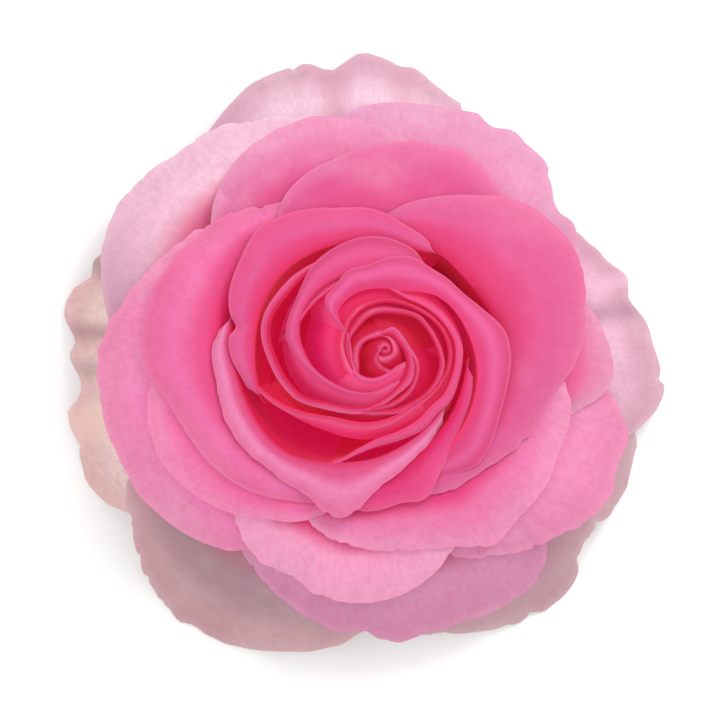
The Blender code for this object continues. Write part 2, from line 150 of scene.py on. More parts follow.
# Crest radius against how far the wall's belly reaches out to its shoulder.
BELLIES = [(0, 0.85), (10, 0.9), (16, 0.92), (20, 0.92), (24, 0.94), (28, 0.95), (40, 0.85)]
BELLY_HEIGHT = 0.3


def disc_top(radius):
    """Height of the hip's slightly domed top at a radius."""
    fall = DISC_HEIGHT - DISC_EDGE_HEIGHT
    return DISC_HEIGHT - fall * (radius / DISC_RADIUS) ** 2


def wall_point(crest, top, along):
    """Radius and height on the wall, from the foot at 0 to the crest at 1."""
    root = ROOT_START + ROOT_SLOPE * crest
    root_height = disc_top(root) + ROOT_CLEARANCE
    shoulder = crest + through(SHOULDERS, crest)
    shoulder_height = top - through(SHOULDERS, crest, 2)
    belly = root + through(BELLIES, crest) * (shoulder - root)
    belly_height = root_height + BELLY_HEIGHT * (top - root_height)
    knots = [(root, root_height), (belly, belly_height), (shoulder, shoulder_height),
             (crest, top)]
    t = along
    weights = [(1 - t) ** 3, 3 * t * (1 - t) ** 2, 3 * t ** 2 * (1 - t), t ** 3]
    radius = sum(w * knot[0] for w, knot in zip(weights, knots))
    height = sum(w * knot[1] for w, knot in zip(weights, knots))
    return radius, height


def section_point(crest, rim, along):
    """Radius and height on the section: along runs 0 to 1 up the wall, 1 to 2 over the lip."""
    top = through(CREST_HEIGHTS, crest)
    if along <= 1.0:
        return wall_point(crest, top, along)
    radius = crest + (rim - crest) * (along - 1.0)
    drop = (top - through(FAR_HEIGHTS, crest)) * ((radius - crest) / (REACH - crest)) ** 2
    return radius, top - drop


print("a broad petal's crest:", section_point(27, 40, 1.0), "mm")

# %% [markdown]
# Three shared motions act on every sheet alike, so they bring life without a collision: the
# rings' centres drift from the stem to the eye, which stands a little to the right, the
# lips ride on waves round the flower, and tips that reach the surface flatten out on it.

# %% Drift, waves and the surface below
EYE_X = 4.0
EYE_Y = 0.9
EYE_DIP = 6.0
DRIFT_RADIUS = 24.0
DIP_RADIUS = 15.0
DRIFT_START = 16.0
DRIFT_RISE = 22.0

# Where the waves start, their height at REACH, and each wave's number of turns round the
# flower, start in radians and share.
WAVE_START = 24.0
WAVE_HEIGHT = 1.3
WAVES = [(7, 0.6, 1.0), (11, 2.1, 0.6)]
SURFACE_EASE = 2.6
TIP_CLEARANCE = 0.35


def wave_lift(azimuth, radius):
    """Height that the waves add, the same for every petal, so that none meets another."""
    share = smooth_step((radius - WAVE_START) / (REACH - WAVE_START))
    angle = math.radians(azimuth)
    wave = sum(weight * math.sin(turns * angle + start) for turns, start, weight in WAVES)
    return WAVE_HEIGHT * share * wave


def rest_height(height):
    """Height of a tip once the surface has stopped it."""
    if height >= SURFACE_EASE:
        return height
    room = SURFACE_EASE - TIP_CLEARANCE
    return TIP_CLEARANCE + room * math.exp((height - SURFACE_EASE) / room)


def plan_point(azimuth, radius, height):
    """Point in millimetres: the rings' centres drift from the eye to the stem's axis."""
    height = rest_height(height + wave_lift(azimuth, radius))
    lift = smooth_step((height - DRIFT_START) / DRIFT_RISE)
    share = (1 - smooth_step(radius / DRIFT_RADIUS)) * lift
    dip = EYE_DIP * (1 - smooth_step(radius / DIP_RADIUS)) * lift
    angle = math.radians(azimuth)
    x = EYE_X * share + radius * math.cos(angle)
    y = EYE_Y * share + radius * math.sin(angle)
    return Vector((x, y, height - dip))


print("a guard petal's tip:", plan_point(236, 58, 0.0), "mm")

# %% [markdown]
# Each petal is a row of stations round the flower: azimuth in degrees, crest radius and rim
# radius in millimetres. The guard petals are the oldest. They have bent right down, and
# their edges are wavy and nicked.

# %% Guard petals
GUARD_PETALS = {
    "guard_petal_top": [(54, 36.8, 43.5), (61, 36.8, 46), (66, 36.9, 47.6), (70, 36.9, 49.2),
                        (75, 37, 50.8), (84, 37.1, 53.6), (91, 37.2, 55), (96.5, 37.2, 52.6),
                        (101, 37.1, 53.8), (110, 37.1, 53.8), (117, 37, 52.2),
                        (123, 36.9, 50.2), (129, 36.8, 48), (137, 36.8, 45.5),
                        (144, 36.8, 43.5)],
    "guard_petal_upper_left": [(98, 33.2, 43), (108, 33.2, 45.4), (118, 33.3, 47.8),
                               (128, 33.5, 49.7), (140, 33.6, 51.2), (151, 33.7, 52.4),
                               (160, 33.8, 51.2), (166, 33.9, 49.3), (172, 34, 47.3),
                               (178, 34.1, 45.7), (186, 34.2, 44)],
    "guard_petal_left": [(148, 36.4, 47.6), (156, 36.4, 50), (161, 36.4, 51.9),
                         (164, 36.5, 52.2), (166.5, 36.5, 53.8), (169.5, 36.5, 55.2),
                         (173, 36.5, 55.2), (177.4, 36.5, 52.9), (180.4, 36.5, 53.8),
                         (185.6, 36.4, 52), (188.4, 36.4, 52.6), (190.6, 36.4, 54.4),
                         (193.5, 36.4, 55.1), (197.6, 36.4, 54.7), (204, 36.3, 55.6),
                         (210, 36.3, 54.2), (214.5, 36.3, 51.8), (219, 36.4, 48.5),
                         (225, 36.4, 46)],
    "guard_petal_lower_left": [(199, 34, 43), (206, 34, 47), (211, 34, 50.8), (216, 34.1, 52.4),
                               (219, 34.1, 54.2), (223.5, 34.2, 56), (229, 34.3, 57.9),
                               (235, 34.3, 59.4), (238, 34.3, 58.6), (243, 34.3, 58.5),
                               (248, 34.3, 58), (254, 34.3, 56.6), (261, 34.3, 54.6),
                               (267, 34.3, 52.4), (272, 34.2, 50), (279, 34.2, 47.5),
                               (286, 34.2, 46)],
    "guard_petal_lower_right": [(262, 35.8, 46), (270, 35.8, 49), (278, 35.7, 51.8),
                                (288, 35.6, 53.6), (297, 35.5, 56), (306, 35.5, 57.2),
                                (313, 35.7, 56.4), (319, 36, 52.9), (325, 36.4, 53.4),
                                (334, 36.9, 53.4), (342, 37.1, 52), (349, 37.2, 49),
                                (356, 37.2, 46.5)],
    "guard_petal_right": [(-27, 35.4, 46), (-21, 35.4, 48.8), (-15, 35.5, 52), (-10, 35.5, 55),
                          (-6.5, 35.5, 55.6), (0, 35.5, 53.6), (4, 35.5, 52.7),
                          (8.3, 35.5, 51.4), (11.4, 35.5, 49.7), (14.5, 35.5, 50.1),
                          (17.2, 35.4, 49.6), (20.3, 35.4, 48.2), (24.2, 35.3, 46.8),
                          (28, 35.3, 45.2), (36, 35.2, 42), (43, 35.2, 40)],
}

print("guard petals:", len(GUARD_PETALS))

# %% [markdown]
# Next come the outer pink petals. Most of each is hidden under the broad ones.

# %% Outer petals
OUTER_PETALS = {
    "outer_petal_upper_right": [(15, 31.4, 39.5), (20, 31.4, 41.5), (25, 31.4, 43.6),
                                (29, 31.4, 44.6), (32, 31.4, 44.8), (36.5, 31.4, 43.8),
                                (40, 31.4, 45.4), (45, 31.4, 47.6), (50, 31.4, 48.2),
                                (56, 31.4, 48.8), (60.5, 31.5, 47.8), (64.5, 31.5, 48.8),
                                (68, 31.6, 48), (73, 31.6, 47.2), (80, 31.6, 46.8),
                                (90, 31.6, 45.2), (99, 31.6, 42), (106, 31.6, 39.5)],
    "outer_petal_upper_left": [(66, 29.6, 37), (73, 29.6, 38.8), (82, 29.6, 40.8),
                               (92, 29.7, 42.8), (103, 29.9, 44.2), (113, 30.2, 43.6),
                               (124, 30.5, 42.2), (132, 30.8, 39.9), (136, 30.8, 38.4),
                               (140, 30.9, 36.4), (145, 31, 34.4), (151, 31, 33)],
    "outer_petal_top": [(36, 26.2, 33.4), (44, 26.2, 36.8), (52, 26.2, 39.4), (60, 26.2, 40.8),
                        (66, 26.2, 41.2), (73, 26.2, 40.4), (84, 26.2, 38.8), (96, 26.2, 36.8),
                        (106, 26.2, 35), (113, 26.3, 33.4), (118, 26.3, 31.8), (122, 26.4, 30),
                        (127, 26.5, 28.4), (133, 26.6, 27.4)],
    "outer_petal_left": [(128, 28.8, 32.6), (136, 29, 35.6), (145, 29.3, 38.2),
                         (155, 29.8, 41), (166, 30.4, 44.4), (178, 30.8, 48.2),
                         (190, 30.9, 49), (203, 30.9, 48.5), (215, 30.9, 48),
                         (225, 30.9, 46.6), (233, 30.9, 44.4), (239, 30.9, 41.8),
                         (245, 30.9, 39), (252, 30.9, 36.6)],
    "outer_petal_bottom": [(224, 32.5, 37), (232, 32.5, 39.8), (240, 32.5, 43),
                           (247, 32.5, 45.8), (254, 32.5, 48.2), (264, 32.5, 50.8),
                           (270, 32.5, 50.9), (273.5, 32.5, 52.2), (277, 32.5, 53),
                           (282, 32.5, 52.4), (293, 32.4, 52.6), (303, 32.3, 52.6),
                           (308.5, 32.3, 51.6), (313, 32.2, 49.2), (318, 32.2, 45.6),
                           (324, 32.2, 42.8)],
    "outer_petal_lower_right": [(280, 30.3, 36.8), (287, 30.3, 38.4), (293.5, 30.3, 40.4),
                                (298, 30.2, 42.4), (303, 30.2, 44), (309, 30.1, 46.6),
                                (317, 30, 48.9), (325, 30, 51.5), (330, 30, 52.4),
                                (335, 30, 51.2), (340, 29.9, 51), (344, 29.9, 50.4),
                                (348, 29.8, 47.8), (352, 29.8, 44.8), (357, 29.8, 42),
                                (363, 29.8, 40)],
    "outer_petal_right": [(-22, 28.2, 37.6), (-16, 28.2, 40), (-12, 28.2, 42.8),
                          (-9, 28.2, 44.8), (-5, 28.2, 45.8), (0, 28.2, 45.4), (5, 28.2, 44.2),
                          (11, 28.2, 42.6), (18, 28.2, 41.4), (25, 28.2, 40)],
}

print("outer petals:", len(OUTER_PETALS))

# %% [markdown]
# Broad petals fill the middle of the flower with their wide, soft lips.

# %% Broad petals
BROAD_PETALS = {
    "broad_petal_bottom": [(219, 29.4, 32.6), (226, 29.4, 35.4), (231.5, 29.4, 37.8),
                           (236, 29.4, 40), (242, 29.4, 42.2), (248, 29.4, 42.8),
                           (253, 29.4, 43), (258, 29.4, 44.6), (267, 29.3, 45.8),
                           (277, 29, 45.1), (286, 28.8, 43), (292, 28.7, 40.6),
                           (297, 28.7, 38), (303, 28.7, 35.6), (309, 28.7, 34)],
    "broad_petal_lower_right": [(237, 29.5, 30.2), (244, 29.3, 30.7), (250, 29, 31.7),
                                (255, 28.6, 33.2), (261, 28.1, 34.5), (272, 27.3, 35.8),
                                (284, 26.9, 37.2), (295, 26.8, 39), (302, 26.8, 41.6),
                                (306, 26.8, 42.4), (312, 26.7, 41.4), (322, 26.7, 41.6),
                                (333, 26.6, 40.3), (344, 26.6, 39.4), (349, 26.6, 38.4),
                                (353, 26.6, 36.8), (359, 26.6, 34.6), (366, 26.6, 32.8)],
    "broad_petal_lower_left": [(174, 29, 35), (181, 29, 37.4), (187, 28.8, 39.2),
                               (194, 28.5, 40.8), (203, 28, 41.7), (213, 27.6, 41.4),
                               (224, 27.3, 39.4), (235, 27, 36.4), (245, 26.8, 33.8),
                               (251, 27.1, 32.2), (255, 27.5, 30.8), (259, 27.9, 29.6),
                               (265, 28.3, 29)],
    "broad_petal_upper_left": [(102, 27.9, 28.8), (109, 27.8, 29.4), (116, 27.8, 30.8),
                               (124, 27.8, 32.8), (135, 27.7, 35.6), (148, 27.6, 38),
                               (160, 27.6, 39.7), (172, 27.4, 40.8), (184, 26.9, 39.8),
                               (193, 26.4, 37), (204, 25.8, 35.4), (218, 25.2, 34.2),
                               (229, 25, 32.8), (241, 24.9, 30.4), (251, 25.4, 28.8),
                               (258, 26, 27.8), (265, 26.6, 27.2)],
    "broad_petal_right": [(-81, 24.6, 26.4), (-75, 24.6, 27), (-68, 24.6, 28),
                          (-58, 24.7, 29.6), (-47, 24.8, 30.3), (-37, 24.8, 31.6),
                          (-28, 24.8, 33.8), (-18, 24.8, 34.5), (-8, 24.8, 36.9),
                          (3, 24.8, 40.2), (14, 24.8, 41.8), (25, 24, 43.2), (35, 23.2, 41.7),
                          (44, 23, 39.8), (55, 23, 35.4), (66, 23, 31.4), (74, 23, 28.6),
                          (80, 23, 26.2), (86, 23, 24.8), (92, 23, 24)],
}

print("broad petals:", len(BROAD_PETALS))

# %% [markdown]
# Cup petals stand round the heart and hold it. Their lips have only just opened.

# %% Cup petals
CUP_PETALS = {
    "cup_petal_upper_left": [(52, 22.9, 23.3), (57, 22.1, 23.5), (62, 21.4, 23.9),
                             (67, 21, 24.4), (74, 20.7, 25.1), (84, 20.6, 26.2), (98, 20.6, 27),
                             (113, 20.7, 28.6), (128, 20.9, 30), (141, 20.9, 28.6),
                             (154, 20.7, 27.3), (164, 20.5, 25.4), (168, 20.4, 23.8),
                             (173, 20.3, 24.9), (181, 20.3, 24.4), (191, 20.4, 22.9),
                             (204, 20.6, 21.6)],
    "cup_petal_front": [(164, 25.2, 26.2), (171, 24.9, 26.8), (178, 24.5, 27.6),
                        (190, 23.6, 27.4), (206, 23.2, 28), (222, 23.2, 27.8),
                        (234, 22.8, 27.4), (248, 21.4, 28), (256, 20.7, 29.8),
                        (261.5, 20.3, 30.4), (267, 19.9, 29), (272, 19.6, 26.6),
                        (278, 19.2, 24.4), (288, 18.5, 22.4), (302, 17.8, 20.6),
                        (314, 17.4, 19.2), (326, 17.2, 18.2)],
    "cup_petal_lower_right": [(245, 25.6, 26.2), (251, 25, 26.6), (257, 24.2, 27.2),
                              (263, 23.4, 28.2), (269, 22.9, 28.9), (275, 22.5, 28.9),
                              (284, 21.9, 28.4), (294, 21.2, 28.7), (302, 20.6, 26.2),
                              (312, 19.9, 23.6), (324, 19.3, 22), (338, 18.8, 21),
                              (349, 18.5, 20), (355, 18.4, 19.2)],
}

print("cup petals:", len(CUP_PETALS))

# %% [markdown]
# The heart's petals are rolled round each other and round the eye. Their crests wind inward,
# so a station's radius shrinks as the azimuth grows, like the turns of a snail's shell.

# %% Swirl petals
SWIRL_PETALS = {
    "swirl_sweeping": [(-68, 24.2, 26), (-60, 23.9, 26.4), (-52, 23.5, 27.6), (-45, 23, 29.1),
                       (-38, 22.7, 28.9), (-30, 22.3, 28), (-23, 21.9, 27.3), (-12, 21.2, 27),
                       (0, 20.2, 27), (10, 19.2, 26), (20, 18.3, 23.4), (31, 17.3, 21.2),
                       (42, 15.8, 20.4), (52, 14, 19.7), (64, 12.3, 19.6), (76, 11.8, 18.2),
                       (90, 11.5, 16.1), (105, 11.3, 15.5), (119, 10.9, 13.8),
                       (131, 10.4, 13.2), (138, 9.8, 11.9), (144, 8.7, 9.6), (150, 7.4, 7.9),
                       (158, 6.4, 6.7), (170, 5.9, 6.2), (185, 5.65, 6), (197, 5.75, 6.1),
                       (210, 5.95, 6.35), (226, 6.15, 6.65), (240, 5.95, 6.6), (252, 5.6, 6.3),
                       (266, 5, 5.7), (281, 4.4, 5.1), (296, 4.05, 4.6), (310, 4, 4.4),
                       (322, 4.3, 4.6), (332, 4.8, 5.05), (342, 5, 5.2), (352, 5, 5.2)],
    "swirl_wide": [(42, 16.2, 17.8), (49, 16.1, 18.4), (55, 15.9, 19.3), (60, 15.6, 20.3),
                   (65, 15.3, 21.1), (72, 15.1, 21.4), (80, 15, 21.6), (92, 14.9, 21.3),
                   (106, 14.9, 20.1), (121, 14.8, 18.8), (138, 14.7, 16.9), (154, 14.3, 16.1),
                   (169, 13.5, 15.6), (181, 12.6, 14.2), (193, 11.8, 12.7), (208, 10.6, 11.3),
                   (224, 9.5, 10.1), (240, 8.7, 9.2), (256, 8, 8.4), (270, 7.2, 7.5),
                   (284, 6.5, 6.75), (296, 6.35, 6.6), (307, 6.6, 6.8), (318, 6.7, 6.9)],
    "swirl_pleat": [(106, 13.9, 14.2), (118, 13.7, 14.1), (130, 13.6, 14), (142, 13.8, 14.2),
                    (151, 14, 14.3), (160, 14.2, 14.5), (170, 14.3, 14.5)],
    "swirl_long": [(99, 18.4, 18.8), (109, 18.4, 18.9), (119, 18.3, 19.1), (129, 18.1, 19.3),
                   (145, 18, 19.5), (159, 18.4, 19.8), (170, 18, 19.4), (184, 16.8, 18.1),
                   (200, 15.7, 16.9), (214, 14.6, 15.8), (228, 12.6, 13.9), (243, 11.4, 12.6),
                   (258, 10.5, 11.7), (270, 9.4, 10.6), (284, 8.2, 9.4), (293, 7.5, 8.8),
                   (304, 6.7, 8.5), (314, 6, 8.3), (322, 5.5, 7.9), (330, 5, 7.5),
                   (338, 4.45, 6.9), (349, 3.85, 6.1), (363, 3.25, 5), (378, 2.8, 4.4),
                   (394, 2.55, 4.2), (413, 2.5, 4.35), (426, 2.5, 4.35), (438, 2.5, 3.85),
                   (448, 2.5, 3.4), (457, 2.6, 3.1), (466, 2.75, 3), (476, 2.85, 3.05),
                   (486, 2.95, 3.15)],
    "swirl_low": [(184, 21.4, 21.9), (194, 21, 21.5), (203, 19.4, 20.1), (211, 18.1, 19),
                  (219, 16.8, 17.8), (229, 15.2, 16.2), (240, 13.9, 14.9), (252, 13.4, 14.5),
                  (266, 13.1, 14.2), (284, 12.6, 13.7), (300, 12.2, 13), (312, 12.4, 12.8),
                  (324, 12.55, 12.8), (334, 12.7, 12.9), (343, 12.8, 13)],
    "swirl_outer_right": [(-120, 22.8, 23.2), (-111, 21.9, 22.4), (-103, 19.9, 20.6),
                          (-95, 17.6, 18.6), (-84, 15.9, 17.2), (-68, 15.4, 17),
                          (-54, 15.2, 17.3), (-42, 14.9, 16.9), (-30, 15.6, 17.6),
                          (-18, 15.8, 17.4), (-6, 15.9, 17.4), (5, 15.8, 17.3),
                          (14, 15.1, 16.5), (25, 14, 15.2), (38, 12.7, 13.7),
                          (50, 11.7, 12.4), (62, 11.2, 11.7), (74, 11.6, 12),
                          (84, 12.2, 12.5), (94, 12.5, 12.7)],
    "swirl_thin": [(-68, 11.7, 11.9), (-56, 12, 12.2), (-45, 12.5, 12.8), (-35, 12.9, 13.3),
                   (-25, 13.4, 13.9), (-24, 13.4, 13.9), (-12, 14, 14.7), (4, 13.9, 14.6),
                   (18, 13, 13.7), (33, 11.5, 12.2), (48, 10.2, 10.9), (64, 9.4, 10),
                   (82, 8.8, 9.4), (98, 8.3, 8.9), (116, 7.9, 8.3), (126, 7.6, 8),
                   (136, 7.4, 7.8), (146, 7.1, 7.4), (155, 6.95, 7.15), (168, 6.75, 6.95),
                   (182, 6.55, 6.7), (196, 6.35, 6.5), (210, 6.25, 6.4), (224, 6.3, 6.5),
                   (236, 6.3, 6.5)],
    "swirl_inner": [(-126, 12.4, 12.6), (-114, 11.8, 12), (-102, 11.2, 11.5), (-91, 11, 11.4),
                    (-81, 11, 11.7), (-72, 11.2, 12.1), (-56, 11.4, 12.3), (-40, 12, 12.9),
                    (-24, 12.4, 13.4), (-10, 12.2, 13.4), (0, 11.4, 12.5), (13, 10.4, 11.4),
                    (27, 9.6, 10.6), (40, 9, 10.1), (54, 7.9, 8.9), (71, 7, 8), (88, 6.7, 7.4),
                    (104, 6.5, 7), (122, 6.1, 6.6), (138, 5.9, 6.35), (152, 6, 6.2),
                    (165, 6.1, 6.25), (180, 6.05, 6.2), (196, 6.05, 6.2), (212, 6.15, 6.3),
                    (226, 6.3, 6.5)],
    "swirl_branch": [(-124, 12, 12.2), (-112, 11.4, 11.6), (-101, 10.8, 11), (-90, 10.4, 10.7),
                     (-76, 9.9, 10.5), (-60, 9.3, 10.1), (-47, 8.7, 9.5), (-38, 8.1, 8.9),
                     (-28, 7.3, 8), (-19, 6.4, 6.8), (-10, 5.2, 5.4), (0, 4.2, 4.35),
                     (10, 3.7, 3.85)],
    "eye_cup": [(-166, 1.5, 1.6), (-150, 1.5, 1.6), (-130, 1.5, 1.62), (-106, 1.4, 1.55),
                (-90, 1.3, 1.44), (-66, 1.28, 1.44), (-26, 1.4, 1.58),
                (0, 1.36, 1.54), (21, 1.34, 1.52), (45, 1.5, 1.7), (73, 1.85, 2.05),
                (90, 2.1, 2.4), (102, 2.25, 2.75), (112, 2.35, 3), (129, 2.55, 3.35),
                (149, 3.25, 3.95), (163, 3.8, 4.5), (182, 4.3, 4.9), (200, 4.75, 5.2),
                (213, 5.2, 5.5), (222, 5.7, 5.9), (232, 6.35, 6.5), (242, 6.5, 6.65)],
    "eye_roll": [(-160, 0.08, 0.16), (-100, 0.14, 0.24), (-40, 0.22, 0.34), (20, 0.32, 0.46),
                 (80, 0.36, 0.52), (140, 0.4, 0.58), (190, 0.55, 0.75), (209, 0.9, 1.1),
                 (218, 1.4, 1.6), (226, 1.85, 2.05), (247, 2.6, 2.8), (269, 3.3, 3.5),
                 (284, 3.85, 4.05), (294, 4.3, 4.45), (305, 4.5, 4.65)],
}

print("petals:", len(GUARD_PETALS) + len(OUTER_PETALS) + len(BROAD_PETALS) + len(CUP_PETALS),
      "round a swirl of", len(SWIRL_PETALS))

# %% [markdown]
# A real petal starts as a narrow claw and fans out up the wall. Past its rim's two ends its
# free edge sinks down the wall, behind the neighbours. That edge is never a clean curve. It
# is nicked and finely scalloped where it dried or was brushed in the bud, and it ruffles,
# because the edge grew faster than the middle. Noise gives the scallops, a fine and a coarse
# wave added up, and a nick opens wherever a third noise rises above its level. Every petal
# has a seed of its own, so no two edges are alike.
#
# The sheet is therefore a grid over two values: across, from one side edge to the other, and
# along, from foot to rim. The grid's own coordinates are kept as a UV map, which the skin
# uses later to run its veins from the foot to the rim.

# %% Edges of a petal
# Half the claw's angle in degrees, the smallest radius that lengths are measured at, and
# where the lip's corners start to draw in and by what share.
CLAW_HALF_ANGLE = 15.0
NARROWEST = 5.0
CORNER_START = 1.4
CORNER_SHARE = 0.03
# How far apart two seeds lie in the noise, and the scallops' shares and lengths.
SEED_STEPS = (7.3, 1.7)
FINE_SHARE = 0.35
FINE_WAVE = 2.2
COARSE_SHARE = 0.65
COARSE_WAVE = 5.5
NICK_WAVE = 3.1
NICK_LEVEL = 0.75
NICK_SLOPE = 3


def with_tails(stations, tail):
    """The stations with one more at each end, where the free edge has sunk down the wall."""
    first = stations[0]
    last = stations[-1]
    before = (first[0] - math.degrees(tail / max(first[1], NARROWEST)), first[1], first[1])
    after = (last[0] + math.degrees(tail / max(last[1], NARROWEST)), last[1], last[1])
    return [before] + list(stations) + [after]


def petal_azimuth(stations, across, along, claw_end):
    """Azimuth of a petal's point, with across running from -1 to 1 over its width."""
    first = stations[0][0]
    last = stations[-1][0]
    half = (last - first) / 2
    claw = min(CLAW_HALF_ANGLE, half)
    width = claw + (half - claw) * smooth_step(along / claw_end)
    corner = CORNER_SHARE * smooth_step((along - CORNER_START) / (2 - CORNER_START))
    return (first + last) / 2 + across * width * (1 - corner)


def ripple(seed, length, wave):
    """Seeded noise from -1 to 1 over a length in millimetres, for waves of a given size."""
    second, third = SEED_STEPS
    return 2 * noise.noise(Vector((length / wave, second * seed, third * seed)))


def scallop(seed, length, depth):
    """How far a nicked edge falls back, in millimetres, at a length along the edge."""
    fine = FINE_SHARE * ripple(seed, length, FINE_WAVE)
    coarse = COARSE_SHARE * ripple(seed + 0.5, length, COARSE_WAVE)
    nick = max(0.0, ripple(seed + 0.25, length, NICK_WAVE) - NICK_LEVEL) * NICK_SLOPE
    return depth * (fine + coarse + nick)


print("a nicked edge at 10 mm:", round(scallop(1, 10, 0.4), 3), "mm")

# %% [markdown]
# How lively the edge is depends on the petal's age, so each group of petals gets one look.
# Its lengths are in millimetres:
#
# - nick is the depth of the scallops, ruffle is the height of a ruffle and wave its length.
# - curl is how far the lip curls down for each millimetre of its width.
# - settle is how far the rim may sink to rest on the petal below.
# - tail is the length over which the free edge sinks past the rim's end. Coming from there,
#   the edge climbs over the lip within the rise, and the lip widens within the taper.
# - dive is how far a rolled petal's ends sink under their neighbours.
# - flesh is the thickness.
# - claw is how far up the wall the petal has fanned out, from 0 at the foot to 1 at the crest.

# %% Looks of the groups
LOOKS = {
    "guard": {"nick": 0.5, "ruffle": 1.1, "wave": 9.0, "curl": 0.0, "settle": 2.2,
              "tail": 0.8, "rise": 0.8, "taper": 0.8, "dive": 0.0, "flesh": 0.3, "claw": 0.85},
    "outer": {"nick": 0.4, "ruffle": 0.7, "wave": 9.0, "curl": 0.0, "settle": 3.2,
              "tail": 0.8, "rise": 0.8, "taper": 0.8, "dive": 0.0, "flesh": 0.3, "claw": 0.85},
    "broad": {"nick": 0.34, "ruffle": 0.5, "wave": 9.0, "curl": 0.0, "settle": 3.2,
              "tail": 1.0, "rise": 1.0, "taper": 1.0, "dive": 0.0, "flesh": 0.3, "claw": 0.75},
    "cup": {"nick": 0.2, "ruffle": 0.25, "wave": 8.0, "curl": 0.1, "settle": 1.6,
            "tail": 2.5, "rise": 2.0, "taper": 2.0, "dive": 0.0, "flesh": 0.28, "claw": 0.6},
    "heart": {"nick": 0.05, "ruffle": 0.05, "wave": 6.0, "curl": 0.42, "settle": 0.0,
              "tail": 2.0, "rise": 2.5, "taper": 2.0, "dive": 1.6, "flesh": 0.22, "claw": 0.3},
}
WALL_ROWS = 16
LIP_ROWS = 14
DEGREES_PER_COLUMN = 1.0
SWIRL_DEGREES_PER_COLUMN = 2.0
# How far up the wall a sunk edge reaches. Then, in millimetres, the most that a lip curls
# down, its least width and the length over which a petal's end dives.
SUNK_REACH = 0.5
WIDE_CURL = 0.9
NARROW_LIP = 0.3
DIVE_ARC = 5.0
# How soon the scallops grow over the lip, and the step from a petal's seed to its ruffle's.
SCALLOP_GROWTH = 1.4
RUFFLE_SEED = 3


def side_arc(stations, across):
    """Length along the crest from the nearer side of the petal, in millimetres."""
    half = math.radians(stations[-1][0] - stations[0][0]) / 2
    crest = stations[0][1] if across < 0 else stations[-1][1]
    return (1 - abs(across)) * half * max(crest, NARROWEST)


def edge_reach(arc, look):
    """How far along the sheet its free edge is: over the lip, but down the wall past its ends."""
    if arc < look["tail"]:
        return SUNK_REACH + (1 - SUNK_REACH) * smooth_step(arc / look["tail"])
    return 1 + smooth_step((arc - look["tail"]) / look["rise"])


def sheet_point(stations, look, seed, across, along):
    """Point of a petal's middle sheet before it settles, in millimetres."""
    side = side_arc(stations, across)
    azimuth = petal_azimuth(stations, across, along, look["claw"])
    crest = through(stations, azimuth, 1)
    width = through(stations, azimuth, 2) - crest
    width = max(width * smooth_step((side - look["tail"]) / look["taper"]), NARROW_LIP)
    arc = math.radians(azimuth) * (crest + width)
    share = max(along - 1.0, 0.0)
    width -= scallop(seed, arc, look["nick"]) * smooth_step(share * SCALLOP_GROWTH)
    radius, height = section_point(crest, crest + width, along)
    height += look["ruffle"] * ripple(seed + RUFFLE_SEED, arc, look["wave"]) * share ** 2
    height -= min(look["curl"] * width, WIDE_CURL) * share ** 2
    height -= look["dive"] * (1 - smooth_step(side / DIVE_ARC))
    return plan_point(azimuth, radius, height)


def along_rows():
    """Along values of a grid's rows, from the foot at 0 over the crest at 1 to the rim at 2."""
    walls = [row / WALL_ROWS for row in range(WALL_ROWS)]
    return walls + [1 + row / LIP_ROWS for row in range(LIP_ROWS + 1)]


def sheet_grid(stations, look, seed, pitch):
    """A petal's middle sheet, row by row, and the along value of each of its points."""
    stations = with_tails(stations, look["tail"])
    columns = max(8, round((stations[-1][0] - stations[0][0]) / pitch))
    sides = [2 * column / columns - 1 for column in range(columns + 1)]
    reaches = [edge_reach(side_arc(stations, across), look) for across in sides]
    places = [[along * reach / 2 for reach in reaches] for along in along_rows()]
    grid = [[sheet_point(stations, look, seed, across, along)
             for across, along in zip(sides, line)] for line in places]
    return grid, places


print("looks:", ", ".join(LOOKS))

# %% [markdown]
# Petals in a bloom don't float like plates. Each lip bends over until its rim lies lightly
# on the petal under it. The same is done here: a ray is dropped from each point of the rim
# to the petals that are already in place, the free height is smoothed along the rim, and
# the lip is bent down by most of it, more and more towards its edge.

# %% Let the lips settle
REST_GAP = 0.75
SETTLE_POWER = 2.2
SMOOTH_REACH = 9


def free_heights(grid, below):
    """Height under each point of the rim down to the petals below, or None."""
    heights = []
    for point in grid[-1]:
        drops = [tree.ray_cast(point, Vector((0, 0, -1)))[3] for tree in below]
        drops = [drop for drop in drops if drop is not None]
        heights.append(min(drops) if drops else None)
    return heights


def settle_depths(grid, below, limit):
    """How far each column's rim may sink, smoothed along the rim."""
    depths = [limit if free is None else min(max(free - REST_GAP, 0.0), limit)
              for free in free_heights(grid, below)]
    smooth = []
    for i in range(len(depths)):
        near = depths[max(0, i - SMOOTH_REACH):i + SMOOTH_REACH + 1]
        smooth.append(min(depths[i], 0.5 * (min(near) + sum(near) / len(near))))
    return smooth


def settled(grid, places, below, limit):
    """The grid with its lip bent down onto the petals below."""
    depths = settle_depths(grid, below, limit)
    for points, line in zip(grid, places):
        for point, along, depth in zip(points, line, depths):
            point.z = rest_height(point.z - depth * max(along - 1, 0) ** SETTLE_POWER)
    return grid


def grid_faces(grid):
    """Quads of a grid, as indices into its points, with the inner face as their front."""
    wide = len(grid[0])
    return [(r * wide + c, (r + 1) * wide + c, (r + 1) * wide + c + 1, r * wide + c + 1)
            for r in range(len(grid) - 1) for c in range(wide - 1)]


def grid_tree(grid):
    """Search tree of a settled sheet, for the petals that come to lie on it."""
    return BVHTree.FromPolygons([point for row in grid for point in row], grid_faces(grid))


print("a rim stops", REST_GAP, "mm above the sheet below")

